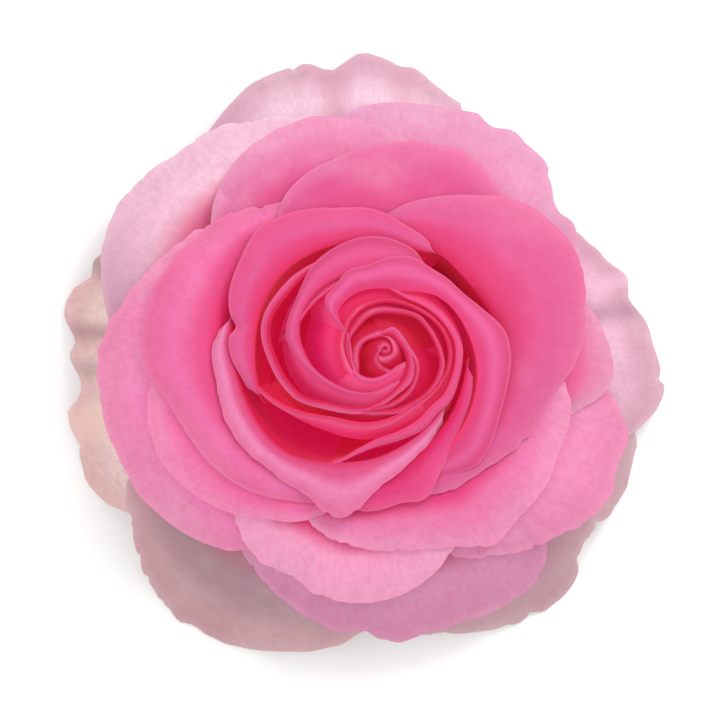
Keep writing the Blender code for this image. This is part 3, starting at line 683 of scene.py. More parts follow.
# %% [markdown]
# The sheet becomes a mesh, and Solidify gives it flesh to both sides. Petals thin out
# towards the rim, so a vertex group tells Solidify how much of the thickness each point
# gets. The inner face and the back of a petal don't have the same colour, and Solidify can
# hand the second side its own material. The result is applied, so that the rim's hair-thin
# side can be marked as sharp. Otherwise the shading would run round it as a dark outline.

# %% From sheet to petal
RIM_FLESH = 0.6
THIN_FROM = 0.5
CRISP_ANGLE = 50.0


def petal_mesh(name, grid, places):
    """Mesh of a sheet, in metres; its UV map holds across and half of along, 0 to 1."""
    columns = len(grid[0])
    bm = bmesh.new()
    verts = [bm.verts.new(point * MM) for row in grid for point in row]
    layer = bm.loops.layers.uv.new("petal")
    for corners in grid_faces(grid):
        face = bm.faces.new([verts[i] for i in corners])
        face.smooth = True
        for loop, i in zip(face.loops, corners):
            row, column = divmod(i, columns)
            loop[layer].uv = (column / (columns - 1), places[row][column] / 2)
    mesh = bpy.data.meshes.new(name)
    bm.to_mesh(mesh)
    bm.free()
    return mesh


def add_flesh(item, grid, flesh):
    """Thicken the sheet, with less flesh towards its rim."""
    group = item.vertex_groups.new(name="flesh")
    columns = len(grid[0])
    for row in range(len(grid)):
        share = smooth_step((row / (len(grid) - 1) - THIN_FROM) / (1 - THIN_FROM))
        indices = list(range(row * columns, (row + 1) * columns))
        group.add(indices, 1 - (1 - RIM_FLESH) * share, "REPLACE")
    shell = item.modifiers.new("flesh", "SOLIDIFY")
    shell.thickness = flesh * MM
    shell.offset = 0
    shell.vertex_group = "flesh"
    shell.material_offset = 1
    thick = item.evaluated_get(bpy.context.evaluated_depsgraph_get())
    mesh = bpy.data.meshes.new_from_object(thick)
    mesh.set_sharp_from_angle(angle=math.radians(CRISP_ANGLE))
    item.modifiers.clear()
    item.data = mesh


def make_petal(name, grid, places, flesh, skins, node):
    """A finished petal in place of its solid, with an inner skin and a back skin."""
    item = bpy.data.objects.new(name, petal_mesh(name, grid, places))
    bpy.context.scene.collection.objects.link(item)
    for skin in skins:
        item.data.materials.append(skin)
    add_flesh(item, grid, flesh)
    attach(item, "root")
    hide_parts(node)


print("flesh at the rim:", round(RIM_FLESH * LOOKS["outer"]["flesh"], 2), "mm")

# %% [markdown]
# The skin of a rose petal is a velvet of tiny domed cells. It has no hard gloss, but a soft
# sheen at a slant, and it lets light through, which is why the cavities between petals glow
# deep red. So the shader mixes a rough surface that has a sheen with a translucent one.
#
# Light that has wandered through many layers of flesh also comes out of the walls deep inside. A
# render follows a path through only a few layers, so the walls are given a painted glow: they
# emit a share of their own colour, most in the heart, and the lips emit nothing. The materials
# are called velvet, for their face and their back.
#
# The colour runs from the foot to the rim: crimson on the wall, strong pink at the crest, and
# paler towards the edge, where a hair-thin line is lightest. The wall's crimson is partly painted
# shade of the deep folds, and the hair-thin line is partly a painted highlight on the rim. Fine
# veins fan out from the foot, some 0.6 mm apart at the rim, and paler patches cloud the lip.
# Between the veins the skin has dried into short crinkles and small darker spots, which read as
# mottling.
#
# All sizes are real ones in millimetres. The scale of a noise counts its waves in a metre, so
# it is 1000 over the size. Only the cells are coarser than real ones, which are some 0.03 mm
# wide, because those wouldn't show.

# %% Sizes and strengths of the skin's patterns
VEIN_SPACING = 0.6
VEIN_LENGTH = 7.0
PETAL_LENGTH = 50.0
CRINKLE_WIDTH = 1.1
CRINKLE_LENGTH = 2.4
CLOUD_SIZE = 14.0
MOTTLE_SIZE = 2.4
CELL_SIZE = 0.16
# Where along the petal, or at which level of its noise, each pattern starts and is full.
CLOUDY_LIP = (0.5, 0.75)
CLOUD_LEVELS = (0.45, 0.75)
VEIN_LEVELS = (0.45, 0.8)
SPOT_LEVELS = (0.66, 1.0)
# Where the walls' painted glow fades out along the petal.
PAINTED_GLOW_FADE = (0.44, 0.58)
# Where the pale rim line with its painted highlight starts and is full.
PALE_RIM_AND_HIGHLIGHT = (0.95, 1.0)
# How far clouds shift the colours along the petal, and how much crinkles add to the spots.
NOISE_MIDDLE = 0.5
CLOUD_DRIFT = 0.07
CRINKLE_SHARE = 0.6
# What velvet flesh does to light, and how much cells and veins add to the relief.
PETAL_IOR = 1.4
VELVET_ROUGHNESS = 0.62
VELVET_SHEEN = 0.12
SHEEN_ROUGHNESS = 0.45
THROUGH_SHARE = 0.36
THROUGH_SATURATION = 1.15
CELL_RELIEF = 0.2
VEIN_RELIEF = 0.5
print("drawn cells from vein to vein:", round(VEIN_SPACING / CELL_SIZE, 1))

# %% [markdown]
# A few helpers lay the patterns. Veins and crinkles follow the petal's own grid, so they fan
# out with it. Clouds, spots and cells fill space, so they don't stretch where the petal
# widens. Most patterns are laid on in the same way: where a pattern rises through its levels,
# a second colour covers the first more and more.

# %% Helpers for the skin
def petal_places(tree):
    """Across and along, from 0 to 1, and the place in the object."""
    uv = add(tree, "ShaderNodeUVMap", uv_map="petal")
    parts = add(tree, "ShaderNodeSeparateXYZ", links={"Vector": uv.outputs["UV"]})
    place = add(tree, "ShaderNodeTexCoord")
    return uv, parts, place.outputs["Object"]


def streaks(tree, uv, width, spacing, length, seed):
    """Noise on the petal's own grid, in spots of a given width and length in millimetres."""
    scale = (width / spacing, PETAL_LENGTH / length, 1)
    shape = add(tree, "ShaderNodeMapping", {"Scale": scale, "Location": (seed, seed, 0)},
                {"Vector": uv.outputs["UV"]})
    return add(tree, "ShaderNodeTexNoise",
               {"Scale": 1.0, "Detail": 2.0, "Roughness": 0.6, "Distortion": 0.4},
               {"Vector": shape.outputs["Vector"]}, noise_dimensions="2D").outputs["Fac"]


def stained(tree, colour, stain, pattern, levels, strengths):
    """The colour with a stain, from first to last strength as a pattern rises in its levels."""
    share = add(tree, "ShaderNodeMapRange",
                {"From Min": levels[0], "From Max": levels[1],
                 "To Min": strengths[0], "To Max": strengths[1]},
                {"Value": pattern}, interpolation_type="SMOOTHSTEP")
    return add(tree, "ShaderNodeMix", {7: linear(stain)},
               {0: share.outputs["Result"], 6: colour}, data_type="RGBA").outputs[2]


def clouded_lip(tree, colour, touch, clouds, along):
    """The colour with pale clouds on it, which only the lip has."""
    lip = add(tree, "ShaderNodeMapRange",
              {"From Min": CLOUDY_LIP[0], "From Max": CLOUDY_LIP[1]},
              {"Value": along}, interpolation_type="SMOOTHSTEP")
    cloud = add(tree, "ShaderNodeMapRange",
                {"From Min": CLOUD_LEVELS[0], "From Max": CLOUD_LEVELS[1],
                 "To Max": touch["clouding"]},
                {"Value": clouds}, interpolation_type="SMOOTHSTEP")
    share = add(tree, "ShaderNodeMath", {},
                {0: cloud.outputs["Result"], 1: lip.outputs["Result"]}, operation="MULTIPLY")
    return add(tree, "ShaderNodeMix", {7: linear(touch["cloud"])},
               {0: share.outputs[0], 6: colour}, data_type="RGBA").outputs[2]


print("crinkles in the length of a petal:", round(PETAL_LENGTH / CRINKLE_LENGTH))

# %% [markdown]
# The ground colour comes first. A ramp holds the stops from foot to rim, and the clouds shift its
# place a little, so that no ring of colour runs evenly round the petal. Folds are painted as
# bands of shade and highlight from foot to rim, which fade out to both sides.

# %% Ground colour and painted fold shade
def ground_colour(tree, along, clouds, stops):
    """Colour from stops of place and colour, foot to rim, shifted a little by the clouds."""
    drift = add(tree, "ShaderNodeMath", {1: NOISE_MIDDLE}, {0: clouds}, operation="SUBTRACT")
    drifted = add(tree, "ShaderNodeMath", {1: CLOUD_DRIFT}, {0: drift.outputs[0], 2: along},
                  operation="MULTIPLY_ADD").outputs[0]
    ramp = add(tree, "ShaderNodeValToRGB", links={"Fac": drifted})
    ramp.color_ramp.interpolation = "EASE"
    while len(ramp.color_ramp.elements) < len(stops):
        ramp.color_ramp.elements.new(0.5)
    for element, (position, colour) in zip(ramp.color_ramp.elements, stops):
        element.position = position
        element.color = linear(colour)
    return ramp.outputs["Color"]


def with_painted_fold_shade(tree, across, colour, patches):
    """The colour with bands of painted fold shade and highlight laid on, each given by middle,
    reach, colour and strength.
    """
    for middle, reach, patch, strength in patches:
        off = add(tree, "ShaderNodeMath", {1: middle}, {0: across}, operation="SUBTRACT")
        off = add(tree, "ShaderNodeMath", {}, {0: off.outputs[0]}, operation="ABSOLUTE")
        colour = stained(tree, colour, patch, off.outputs[0], (0, reach), (strength, 0))
    return colour


print("clouds shift a colour by up to", round(CLOUD_DRIFT * PETAL_LENGTH / 2, 1), "mm or so")

# %% [markdown]
# Then the patterns are laid over the ground: clouds on the lip, veins, spots, the painted shade
# and highlight of folds, and the pale rim line with its painted highlight. The same veins and
# crinkles, with the cells, raise the surface a little. Two shaders share the light. One is the
# velvet face and the other lets light through, in a stronger colour than the face has, because
# that light has crossed the whole flesh. The walls add a painted glow of their own colour.

# %% Living petal skin
def finish_skin(tree, colour, painted_glow, touch, relief, place):
    """Velvet and translucent shaders for a colour, with a painted glow from the walls, and veins,
    crinkles and cells in relief.
    """
    veins, crinkles = relief
    cells = add(tree, "ShaderNodeTexVoronoi", {"Scale": 1000 / CELL_SIZE}, {"Vector": place})
    height = add(tree, "ShaderNodeMath", {1: CELL_RELIEF},
                 {0: cells.outputs["Distance"], 2: crinkles}, operation="MULTIPLY_ADD")
    height = add(tree, "ShaderNodeMath", {1: VEIN_RELIEF}, {0: veins, 2: height.outputs[0]},
                 operation="MULTIPLY_ADD")
    bump = add(tree, "ShaderNodeBump", {"Strength": 0.4, "Distance": touch["relief"] * MM},
               {"Height": height.outputs[0]})
    crossed = add(tree, "ShaderNodeHueSaturation",
                  {"Saturation": THROUGH_SATURATION, "Value": 1.0}, {"Color": colour})
    velvet = add(tree, "ShaderNodeBsdfPrincipled",
                 {"Roughness": VELVET_ROUGHNESS, "IOR": PETAL_IOR, "Specular IOR Level": 0.3,
                  "Sheen Weight": VELVET_SHEEN, "Sheen Roughness": SHEEN_ROUGHNESS,
                  "Emission Strength": touch["glow"]},
                 {"Base Color": colour, "Normal": bump.outputs["Normal"],
                  "Emission Color": painted_glow})
    through_flesh = add(tree, "ShaderNodeBsdfTranslucent", {},
                        {"Color": crossed.outputs["Color"], "Normal": bump.outputs["Normal"]})
    petal = add(tree, "ShaderNodeMixShader", {0: THROUGH_SHARE},
                {1: velvet.outputs["BSDF"], 2: through_flesh.outputs["BSDF"]})
    add(tree, "ShaderNodeOutputMaterial", links={"Surface": petal.outputs["Shader"]})


def petal_skin(name, stops, touch, width, seed=0.0, patches=()):
    """Petal material from colour stops, foot to rim, and a group's touch, as given below."""
    skin = bpy.data.materials.new(name)
    skin.use_nodes = True
    tree = skin.node_tree
    tree.nodes.clear()
    uv, parts, place = petal_places(tree)
    across = parts.outputs["X"]
    along = parts.outputs["Y"]
    veins = streaks(tree, uv, width, VEIN_SPACING, VEIN_LENGTH, seed)
    crinkles = streaks(tree, uv, width, CRINKLE_WIDTH, CRINKLE_LENGTH, seed + 0.5)
    clouds = add(tree, "ShaderNodeTexNoise", {"Scale": 1000 / CLOUD_SIZE, "Detail": 4.0,
                 "W": seed}, {"Vector": place}, noise_dimensions="4D").outputs["Fac"]
    colour = ground_colour(tree, along, clouds, stops)
    colour = clouded_lip(tree, colour, touch, clouds, along)
    colour = stained(tree, colour, touch["vein"], veins, VEIN_LEVELS, (0, touch["veining"]))
    mottle = add(tree, "ShaderNodeTexNoise", {"Scale": 1000 / MOTTLE_SIZE, "Detail": 6.0,
                 "Roughness": 0.62, "W": seed}, {"Vector": place},
                 noise_dimensions="4D").outputs["Fac"]
    spots = add(tree, "ShaderNodeMath", {1: CRINKLE_SHARE}, {0: crinkles, 2: mottle},
                operation="MULTIPLY_ADD").outputs[0]
    colour = stained(tree, colour, touch["vein"], spots, SPOT_LEVELS, (0, touch["mottling"]))
    # Painted shade and highlight of folds.
    colour = with_painted_fold_shade(tree, across, colour, patches)
    # Pale rim line, partly a painted highlight.
    colour = stained(tree, colour, touch["cloud"], along, PALE_RIM_AND_HIGHLIGHT, (0, touch["pale_rim_highlight"]))
    # Painted glow: the wall emits its own colour, fading to none over the lip.
    painted_glow = stained(tree, colour, "000000", along, PAINTED_GLOW_FADE, (0, 1))
    finish_skin(tree, colour, painted_glow, touch, (veins, crinkles), place)
    return skin


print("veins stand", VEIN_SPACING, "mm apart")

# %% [markdown]
# Every petal has its own tint, as on the real flower: sun and age have worked on each one
# differently. Each tint also holds painted light and shade, darker where the petal lies in the
# shadow of others. The list gives five stops from foot to rim for the inner face: wall, crest,
# throat, lip and rim. The guard petals have faded to pale pink, and those that lay below are
# mauve grey or cream with a peach edge, partly faded colour and partly painted shade from the
# bloom above them.
#
# The back of a loose petal hardly shows, so it takes the face's tints, and the crest's for its
# wall as well. In the heart one looks down onto backs, so these have five stops of their own,
# close below and above the crest, where they come into sight: dark crimson below, painted shade
# of the narrow gaps between the rolled petals, up to pink at the crest. The tints called swirl,
# deep and eye serve the rolled petals that have none of their own, and they darken inward as
# painted shade of the heart's depth.

# %% Tints of the petals
# Stops of pigment with painted shade and light in them, foot to rim.
TINTS_AND_SHADE = {
    "guard_petal_top": ("E58AAE", "E3A9C2", "DA9CBA", "F6D6E6", "DEB0C4"),
    "guard_petal_upper_left": ("E88AAA", "F088AC", "EE5A90", "FCD4E6", "F4CCE0"),
    "guard_petal_left": ("D8A6A4", "D2B2AE", "DFC4BC", "F6E2DA", "EAC6C2"),
    "guard_petal_lower_left": ("A8647A", "C0748C", "CA728C", "BC969F", "D4A8AE"),
    "guard_petal_lower_right": ("AE8089", "C08894", "D8A0B4", "CE9EAE", "D4ACB4"),
    "guard_petal_right": ("DB6F9A", "DC7CA4", "DE8AB0", "F4C6DC", "DEAEC0"),
    "outer_petal_upper_right": ("E23F78", "E4588E", "EC4486", "ECA2C8", "E6AACA"),
    "outer_petal_upper_left": ("E02D68", "FA68A4", "EA5E9A", "EA7DAF", "EC9EC4"),
    "outer_petal_top": ("E62E6E", "F464A2", "E85695", "E45C99", "E87AAC"),
    "outer_petal_left": ("E23C76", "F25C98", "FA68A0", "FF98D0", "F498C4"),
    "outer_petal_bottom": ("D0487A", "E0568C", "D82C68", "E8A0C6", "E29AC0"),
    "outer_petal_lower_right": ("E03F78", "F06AA4", "F47AB4", "F8A2D0", "F09AC4"),
    "outer_petal_right": ("E03E78", "EC5694", "F6609E", "F270A6", "EAA0C0"),
    "broad_petal_bottom": ("E03A74", "F0508E", "F23A86", "FFB4DA", "FAB8DA"),
    "broad_petal_lower_right": ("E02060", "EA125A", "EE488B", "F48CC0", "F4A4CC"),
    "broad_petal_lower_left": ("E41E62", "F01460", "FA0E64", "FC7CB8", "F89AC8"),
    "broad_petal_upper_left": ("D01C48", "EC2C74", "EE5896", "F47EBA", "EE7AAE"),
    "broad_petal_right": ("C0102C", "DC104A", "E74885", "E665A1", "E673A6"),
    "cup_petal_upper_left": ("EC2870", "DC0E4A", "E64683", "E662A0", "E85E98"),
    "cup_petal_front": ("E61E72", "D0124C", "E65C94", "F294C6", "EC82B2"),
    "cup_petal_lower_right": ("DC1A54", "D2083C", "E42470", "EC488C", "F05E9A"),
    "swirl": ("D41C58", "D61448", "E2366F", "E6568E", "E96C9E"),
    "swirl_back": ("E23484", "E4508C", "E2508A", "EC78A8", "EC78A8"),
    "swirl_sweeping": ("CE2660", "E43672", "E24C88", "EA68A6", "DE528A"),
    "swirl_wide": ("D02254", "B80838", "E44C88", "E6609C", "D64A80"),
    "swirl_outer_right": ("D01848", "E03870", "E65088", "E85C94", "E0528A"),
    "swirl_low": ("EE4478", "E23466", "E2366F", "E4507F", "E6608F"),
    "swirl_thin": ("D81440", "CE1240", "D61C50", "E02A60", "E2426E"),
    "deep": ("D01A54", "CE1240", "D82458", "E04278", "E25486"),
    "swirl_thin_back": ("E4207A", "DE3A78", "D62C60", "EC78A8", "EC78A8"),
    "deep_back": ("DA1C5C", "CE1850", "CA1C50", "EC78A8", "EC78A8"),
    "eye": ("D81C5C", "CC0E40", "D62056", "E64C86", "E6689A"),
    "eye_back": ("C01428", "BC0F2C", "C41442", "EA74A4", "EA74A4"),
    "swirl_long_back": ("D2284E", "C81C40", "CA2048", "EA74A4", "EA74A4"),
}
STOP_PLACES = (0.28, 0.46, 0.60, 0.78, 0.96)
BACK_PLACES = (0.40, 0.45, 0.48, 0.505, 0.6)
BACK_SEED = 5
# The touch of a group: the colours of clouds and veins, how strong clouds, veins and mottling
# are, how light the pale rim line with its painted highlight, how high the relief in millimetres,
# and how much painted glow the walls give.
TOUCHES = {
    "guard": {"cloud": "F9E4EA", "clouding": 0.34, "vein": "C892A6", "veining": 0.1,
              "mottling": 0.22, "pale_rim_highlight": 0.16, "relief": 0.3, "glow": 0.0},
    "outer": {"cloud": "F6C3DC", "clouding": 0.3, "vein": "E0609A", "veining": 0.1,
              "mottling": 0.2, "pale_rim_highlight": 0.16, "relief": 0.24, "glow": 0.06},
    "broad": {"cloud": "F4A9CC", "clouding": 0.22, "vein": "DE4685", "veining": 0.08,
              "mottling": 0.16, "pale_rim_highlight": 0.18, "relief": 0.2, "glow": 0.14},
    "cup": {"cloud": "F192BC", "clouding": 0.16, "vein": "DA3072", "veining": 0.06,
            "mottling": 0.14, "pale_rim_highlight": 0.2, "relief": 0.15, "glow": 0.28},
    "heart": {"cloud": "F08CBC", "clouding": 0.1, "vein": "D81F5A", "veining": 0.06,
              "mottling": 0.1, "pale_rim_highlight": 0.3, "relief": 0.08, "glow": 0.38},
}


def tinted_and_shaded_skins(name, tints, group, width, seed, patches=()):
    """Inner skin and back skin of a petal, from the tints of its face and its back."""
    face_tint, back_tint, back_places = tints
    touch = TOUCHES[group]
    face = petal_skin(name + "_velvet_face", list(zip(STOP_PLACES, face_tint)), touch, width,
                      seed, patches)
    back = petal_skin(name + "_velvet_back", list(zip(back_places, back_tint)), touch, width,
                      seed + BACK_SEED)
    return face, back


print("tints:", len(TINTS_AND_SHADE))

# %% [markdown]
# The petals are made from the outside in, lowest first, so each one finds the petals that it
# lies on already in place.
#
# The oldest petals have folds, painted as bands of shade where they turn from the light and of
# highlight where they face it. Each band is given by its middle across the petal and its reach to
# both sides, as shares of the width, by its colour and its strength.

# %% Lay the loose petals
GROUPS = {"guard": GUARD_PETALS, "outer": OUTER_PETALS, "broad": BROAD_PETALS,
          "cup": CUP_PETALS}
# Bands of painted fold shade and highlight: the dark mauve ones are shade, the pale ones
# highlight.
PAINTED_FOLD_SHADE = {"guard_petal_upper_left": [(0.93, 0.54, "D6A2BA", 0.9)],
        "guard_petal_left": [(0.18, 0.05, "A88A90", 0.65), (0.36, 0.045, "B08088", 0.6),
                             (0.46, 0.045, "C0A8A6", 0.6), (0.6, 0.1, "FADCD0", 0.6)],
        "guard_petal_right": [(0.52, 0.06, "BA8AA4", 0.6), (0.61, 0.045, "F8CCE2", 0.6),
                              (0.73, 0.06, "D8A0BA", 0.5)],
        "outer_petal_upper_right": [(0.18, 0.09, "DC9CBA", 0.75)],
        "guard_petal_top": [(0.74, 0.14, "D8A6BC", 0.6), (0.47, 0.06, "DCA2B4", 0.6),
                            (0.3, 0.06, "E0A8B8", 0.4)]}


def mean_crest(stations):
    """Mean crest radius of a petal, which says how deep it lies."""
    return sum(station[1] for station in stations) / len(stations)


def loose_petals():
    """Group, name and stations of the loose petals, from the lowest up."""
    petals = [(group, name, stations) for group, table in GROUPS.items()
              for name, stations in table.items()]
    return sorted(petals, key=lambda petal: -mean_crest(petal[2]))


below = []
for seed, (group, name, stations) in enumerate(loose_petals(), start=1):
    look = LOOKS[group]
    grid, places = sheet_grid(stations, look, seed, DEGREES_PER_COLUMN)
    grid = settled(grid, places, below, look["settle"])
    below.append(grid_tree(grid))
    turn = math.radians(stations[-1][0] - stations[0][0])
    width = turn * max(station[2] for station in stations)
    tints = (TINTS_AND_SHADE[name], TINTS_AND_SHADE[name][1:2] + TINTS_AND_SHADE[name][1:], STOP_PLACES)
    skins = tinted_and_shaded_skins(name, tints, group, width, seed, PAINTED_FOLD_SHADE.get(name, ()))
    make_petal(name + "_skin", grid, places, look["flesh"], skins, name)
print("loose petals laid:", len(below))

# %% [markdown]
# The heart is the same work. Its petals are small, so a column of two degrees there is still a
# finer step than one of one degree at the outside. Its lips are so narrow that they roll over
# like the rim of a paper scroll, and each rim shows as a thin pink line, partly a painted
# highlight, against the crimson wall behind it. The colour deepens inward, from the swirl's outer
# petals over the deep ones to those of the eye, partly as painted shade of the heart's depth.

# %% Roll the heart
# The first petal's seed, and the width in millimetres over which the veins are spaced.
HEART_SEED = 40
HEART_WIDTH = 30.0
KINDS = {"swirl_long": "eye", "eye_cup": "eye", "eye_roll": "eye", "swirl_inner": "deep",
         "swirl_branch": "deep", "swirl_thin": "deep"}

for seed, (name, stations) in enumerate(SWIRL_PETALS.items(), start=HEART_SEED):
    look = LOOKS["heart"]
    grid, places = sheet_grid(stations, look, seed, SWIRL_DEGREES_PER_COLUMN)
    kind = KINDS.get(name, "swirl")
    tints = (TINTS_AND_SHADE.get(name, TINTS_AND_SHADE[kind]), TINTS_AND_SHADE.get(name + "_back", TINTS_AND_SHADE[kind + "_back"]),
             BACK_PLACES)
    skins = tinted_and_shaded_skins(name, tints, "heart", HEART_WIDTH, seed)
    make_petal(name + "_skin", grid, places, look["flesh"], skins, "heart")
print("rolled petals:", len(SWIRL_PETALS))

# %% [markdown]
# Between the rolled petals one looks down onto the packed bases of the innermost ones. They are a
# turned solid, from a profile that spins round the stem's axis.

# %% The core of packed bases
CORE_PROFILE = [(1, 36.5), (3.2, 34), (5.0, 29), (6.2, 24), (6.2, 20), (5.2, 17), (5, 15.3)]
CORE_STEPS = 48
CORE_WIDTH = 20.0


def turned(name, profile, steps, skin, node):
    """Closed solid turned round +Z from a profile in millimetres, top to bottom."""
    points = [(0.0, profile[0][1])] + list(profile) + [(0.0, profile[-1][1])]
    bm = bmesh.new()
    verts = [bm.verts.new((radius * MM, 0, height * MM)) for radius, height in points]
    for start, end in zip(verts, verts[1:]):
        bm.edges.new((start, end))
    mesh = bpy.data.meshes.new(name)
    bm.to_mesh(mesh)
    bm.free()
    item = bpy.data.objects.new(name, mesh)
    bpy.context.scene.collection.objects.link(item)
    screw = item.modifiers.new("turn", "SCREW")
    screw.steps = steps
    screw.render_steps = steps
    screw.use_merge_vertices = True
    screw.merge_threshold = 1e-6
    screw.use_smooth_shade = True
    item.data.materials.append(skin)
    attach(item, "root")
    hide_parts(node)


core_skin = petal_skin("packed_petal_bases", list(zip(STOP_PLACES, TINTS_AND_SHADE["eye"])),
                       TOUCHES["heart"], CORE_WIDTH)
turned("heart_core_skin", CORE_PROFILE, CORE_STEPS, core_skin, "heart")
print("core height:", CORE_PROFILE[0][1], "mm")

# %% [markdown]
# Under the bloom sit the green parts. The hip is smooth and waxy, with a flared edge that
# carries the petals. The five sepals are thin, lance shaped and downy, with a raised midrib,
# and they have bent down. The stub was cut with shears, so its end shows pale pith. All three
# have the soft mottling of living tissue, each at its own grain, which also gives them a
# faint relief. They differ in colour and in how rough they are: wax is the smoothest.

# %% Green skin
GREEN_LEVELS = (0.35, 0.68)
GREEN_RELIEF = 0.15


def green_skin(name, dark, light, rough, grain):
    """Living plant skin with soft mottling of a grain given in millimetres."""
    skin = bpy.data.materials.new(name)
    skin.use_nodes = True
    tree = skin.node_tree
    tree.nodes.clear()
    place = add(tree, "ShaderNodeTexCoord").outputs["Object"]
    mottle = add(tree, "ShaderNodeTexNoise", {"Scale": 1000 / grain, "Detail": 4.0},
                 {"Vector": place}).outputs["Fac"]
    share = add(tree, "ShaderNodeMapRange",
                {"From Min": GREEN_LEVELS[0], "From Max": GREEN_LEVELS[1]},
                {"Value": mottle}, interpolation_type="SMOOTHSTEP")
    colour = add(tree, "ShaderNodeMix", {6: linear(dark), 7: linear(light)},
                 {0: share.outputs["Result"]}, data_type="RGBA").outputs[2]
    bump = add(tree, "ShaderNodeBump", {"Strength": 0.3, "Distance": GREEN_RELIEF * MM},
               {"Height": mottle})
    flesh = add(tree, "ShaderNodeBsdfPrincipled",
                {"Roughness": rough, "IOR": PETAL_IOR, "Sheen Weight": 0.1},
                {"Base Color": colour, "Normal": bump.outputs["Normal"]})
    add(tree, "ShaderNodeOutputMaterial", links={"Surface": flesh.outputs["BSDF"]})
    return skin


hip_skin = green_skin("waxy_hip_skin", "4F7A33", "7FA253", 0.42, 2.5)
sepal_skin = green_skin("downy_sepal_skin", "5D8340", "9DB679", 0.68, 1.2)
pith_skin = green_skin("cut_pith", "CFD7A8", "E4E6C8", 0.75, 0.5)
print("green skins:", hip_skin.name, sepal_skin.name, pith_skin.name)

# %% [markdown]
# Hip and stub are turned in one profile. The cut end is a separate thin disc, because its
# pith has another colour.

# %% Hip, stub and cut end
DISC_SHARES = (0.2, 0.4, 0.6, 0.8, 0.93, 1.0)
HIP_SIDE = [(10.5, 12.5), (10.3, 12.1), (10, 11.9), (8.6, 11.3), (7.6, 10.6), (7.3, 9.4),
            (7.2, 8), (6.8, 6.8), (6.1, 5.8), (4.6, 4.5), (3.3, 3.6), (2.9, 3), (2.8, 2.4),
            (2.8, 0.9)]
PITH_PROFILE = [(2.8, 0.9), (2.75, 0.15), (2.5, 0.0)]
HIP_STEPS = 64

disc = [(DISC_RADIUS * share, disc_top(DISC_RADIUS * share)) for share in DISC_SHARES]
turned("hip_skin", disc + HIP_SIDE, HIP_STEPS, hip_skin, "calyx")
turned("cut_end", PITH_PROFILE, HIP_STEPS, pith_skin, "calyx")
print("hip width:", 2 * max(radius for radius, height in HIP_SIDE), "mm")

# %% [markdown]
# A sepal is a narrow leaf. Its sheet is a small grid: the width swells and tapers along the
# length, with a slightly uneven edge. The middle is hollow with a ridge for the midrib, the
# sides twist a little, each sepal in its own way, and the tip droops. It is thickened in the
# same way as a petal.

# %% Sepals
SEPAL_COUNT = 5
SEPAL_TURN = 18.0
SEPAL_START = 6.2
SEPAL_LENGTH = 24.0
SEPAL_HALF_WIDTH = 2.0
SEPAL_SWELL = 2.0
SEPAL_TAPER = 0.7
SEPAL_TIP_HALF_WIDTH = 0.2
SEPAL_HOLLOW = 0.5
SEPAL_ROOT_HEIGHT = 11.2
SEPAL_DROP = 5.6
SEPAL_BEND = 1.6
SEPAL_FLESH = 0.6
SEPAL_COLUMNS = 16
SEPAL_ROWS = 60
SEPAL_NICK = 0.25
SEPAL_NICK_WAVE = 2.0
SEPAL_THREAD = 0.05
SEPAL_TWIST = 0.5
SEPAL_TWIST_RADIANS = 5
MIDRIB = 0.45
MIDRIB_HALF_WIDTH = 0.5


def sepal_grid(turn, seed):
    """Points of one sepal, from its foot on the hip to its tip."""
    angle = math.radians(turn)
    grid = []
    for row in range(SEPAL_ROWS + 1):
        share = row / SEPAL_ROWS
        spread = SEPAL_HALF_WIDTH * (1 + SEPAL_SWELL * share) * (1 - share) ** SEPAL_TAPER
        nick = SEPAL_NICK * ripple(seed, share * SEPAL_LENGTH, SEPAL_NICK_WAVE)
        spread += SEPAL_TIP_HALF_WIDTH + nick
        line = []
        for column in range(SEPAL_COLUMNS + 1):
            side = 2 * column / SEPAL_COLUMNS - 1
            across = side * max(spread, SEPAL_THREAD)
            radius = SEPAL_START + SEPAL_LENGTH * share
            rib = MIDRIB * math.exp(-(across / MIDRIB_HALF_WIDTH) ** 2) * (1 - share)
            hollow = SEPAL_HOLLOW * abs(side) * (1 - share) - rib
            twist = SEPAL_TWIST * math.sin(SEPAL_TWIST_RADIANS * share + seed) * side * share
            height = SEPAL_ROOT_HEIGHT - SEPAL_DROP * share ** SEPAL_BEND + hollow + twist
            line.append(Vector((radius * math.cos(angle) - across * math.sin(angle),
                                radius * math.sin(angle) + across * math.cos(angle), height)))
        grid.append(line)
    return grid


for number in range(SEPAL_COUNT):
    grid = sepal_grid(SEPAL_TURN + 360 / SEPAL_COUNT * number, number + 1)
    places = [[2 * row / SEPAL_ROWS] * (SEPAL_COLUMNS + 1) for row in range(SEPAL_ROWS + 1)]
    make_petal("sepal_%d" % (number + 1), grid, places, SEPAL_FLESH, [sepal_skin, sepal_skin],
               "calyx")
print("sepals:", SEPAL_COUNT)

# %% [markdown]
# The stage is a sheet of matt white paper. It gives back a little light of its own, which
# keeps the flower's shadow on it pale. The light is a studio's: a large soft key from the
# upper right, a weaker fill from the left, and an even white surround that reaches into the
# folds. Places and sizes are in metres here, but for the paper's grain, which is in
# millimetres and coarser than a real fibre's width so that it can show.

# %% Floor and light
FLOOR_SIZE = 4.0
PAPER_GRAIN = 2 / 3
PAPER_GLOW = 0.14
KEY_PLACE = (0.35, 0.45, 0.75)
KEY_SIZE = 0.35
KEY_POWER = 4.0
FILL_PLACE = (-0.6, -0.2, 0.6)
FILL_SIZE = 0.6
FILL_POWER = 1.0
SURROUND = 0.97


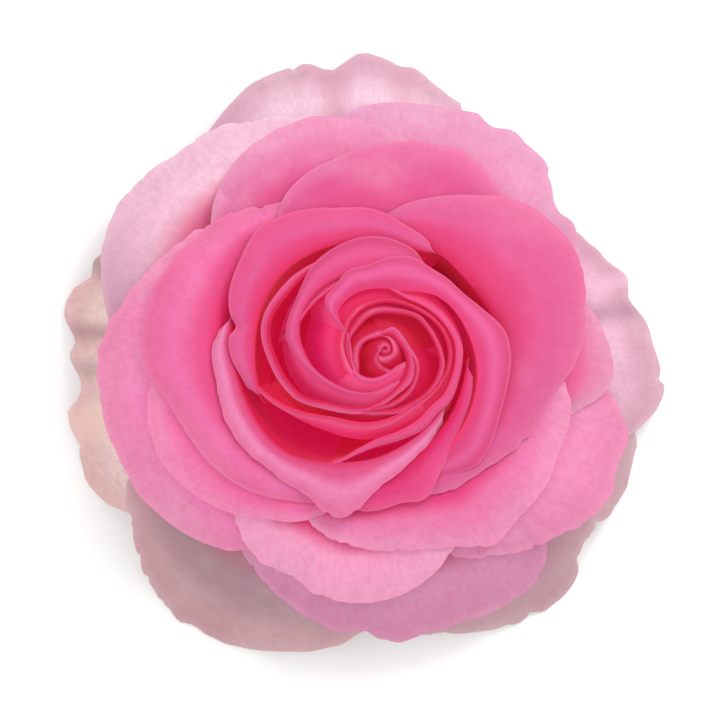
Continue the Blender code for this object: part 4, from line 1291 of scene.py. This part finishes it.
def paper_floor():
    """A wide sheet of matt white paper under the flower."""
    bm = bmesh.new()
    bmesh.ops.create_grid(bm, x_segments=1, y_segments=1, size=FLOOR_SIZE / 2)
    mesh = bpy.data.meshes.new("floor")
    bm.to_mesh(mesh)
    bm.free()
    floor = bpy.data.objects.new("floor", mesh)
    bpy.context.scene.collection.objects.link(floor)
    paper = bpy.data.materials.new("matt_white_paper")
    paper.use_nodes = True
    tree = paper.node_tree
    tree.nodes.clear()
    place = add(tree, "ShaderNodeTexCoord").outputs["Object"]
    grain = add(tree, "ShaderNodeTexNoise", {"Scale": 1000 / PAPER_GRAIN}, {"Vector": place})
    colour = add(tree, "ShaderNodeMix", {6: linear("F4F4F4"), 7: linear("FAFAFA")},
                 {0: grain.outputs["Fac"]}, data_type="RGBA").outputs[2]
    sheet = add(tree, "ShaderNodeBsdfPrincipled",
                {"Roughness": 0.9, "Emission Color": linear("FFFFFF"),
                 "Emission Strength": PAPER_GLOW}, {"Base Color": colour})
    add(tree, "ShaderNodeOutputMaterial", links={"Surface": sheet.outputs["BSDF"]})
    mesh.materials.append(paper)


def soft_light(name, place, size, power):
    """A square studio lamp that faces the flower."""
    lamp = bpy.data.lights.new(name, "AREA")
    lamp.shape = "SQUARE"
    lamp.size = size
    lamp.energy = power
    item = bpy.data.objects.new(name, lamp)
    item.location = place
    item.rotation_mode = "QUATERNION"
    item.rotation_quaternion = Vector(place).to_track_quat("Z", "Y")
    bpy.context.scene.collection.objects.link(item)


def white_surround(strength):
    """An even white surround."""
    world = bpy.data.worlds.new("surround")
    world.use_nodes = True
    backdrop = world.node_tree.nodes["Background"]
    backdrop.inputs["Color"].default_value = (1, 1, 1, 1)
    backdrop.inputs["Strength"].default_value = strength
    bpy.context.scene.world = world


paper_floor()
soft_light("key", KEY_PLACE, KEY_SIZE, KEY_POWER)
soft_light("fill", FILL_PLACE, FILL_SIZE, FILL_POWER)
white_surround(SURROUND)
bpy.context.scene.view_settings.view_transform = "Standard"
print("lamps: key of", KEY_POWER, "W and fill of", FILL_POWER, "W")

# %% [markdown]
# The camera looks straight down. It is orthographic, as a very long lens is, so near and far
# petals keep the sizes that they were drawn with. It is centred on the picture's frame.

# %% Camera
MM_PER_PIXEL = 0.183
PICTURE_PIXELS = 720
STEM_PIXEL = (363.5, 353.5)
CAMERA_HEIGHT = 1.0

camera = bpy.data.cameras.new("camera")
camera.type = "ORTHO"
camera.ortho_scale = PICTURE_PIXELS * MM_PER_PIXEL * MM
camera.clip_end = 10
viewer = bpy.data.objects.new("camera", camera)
middle = PICTURE_PIXELS / 2
viewer.location = ((middle - STEM_PIXEL[0]) * MM_PER_PIXEL * MM,
                   (STEM_PIXEL[1] - middle) * MM_PER_PIXEL * MM, CAMERA_HEIGHT)
bpy.context.scene.collection.objects.link(viewer)
bpy.context.scene.camera = viewer
print("picture width:", round(camera.ortho_scale * 1000, 1), "mm")
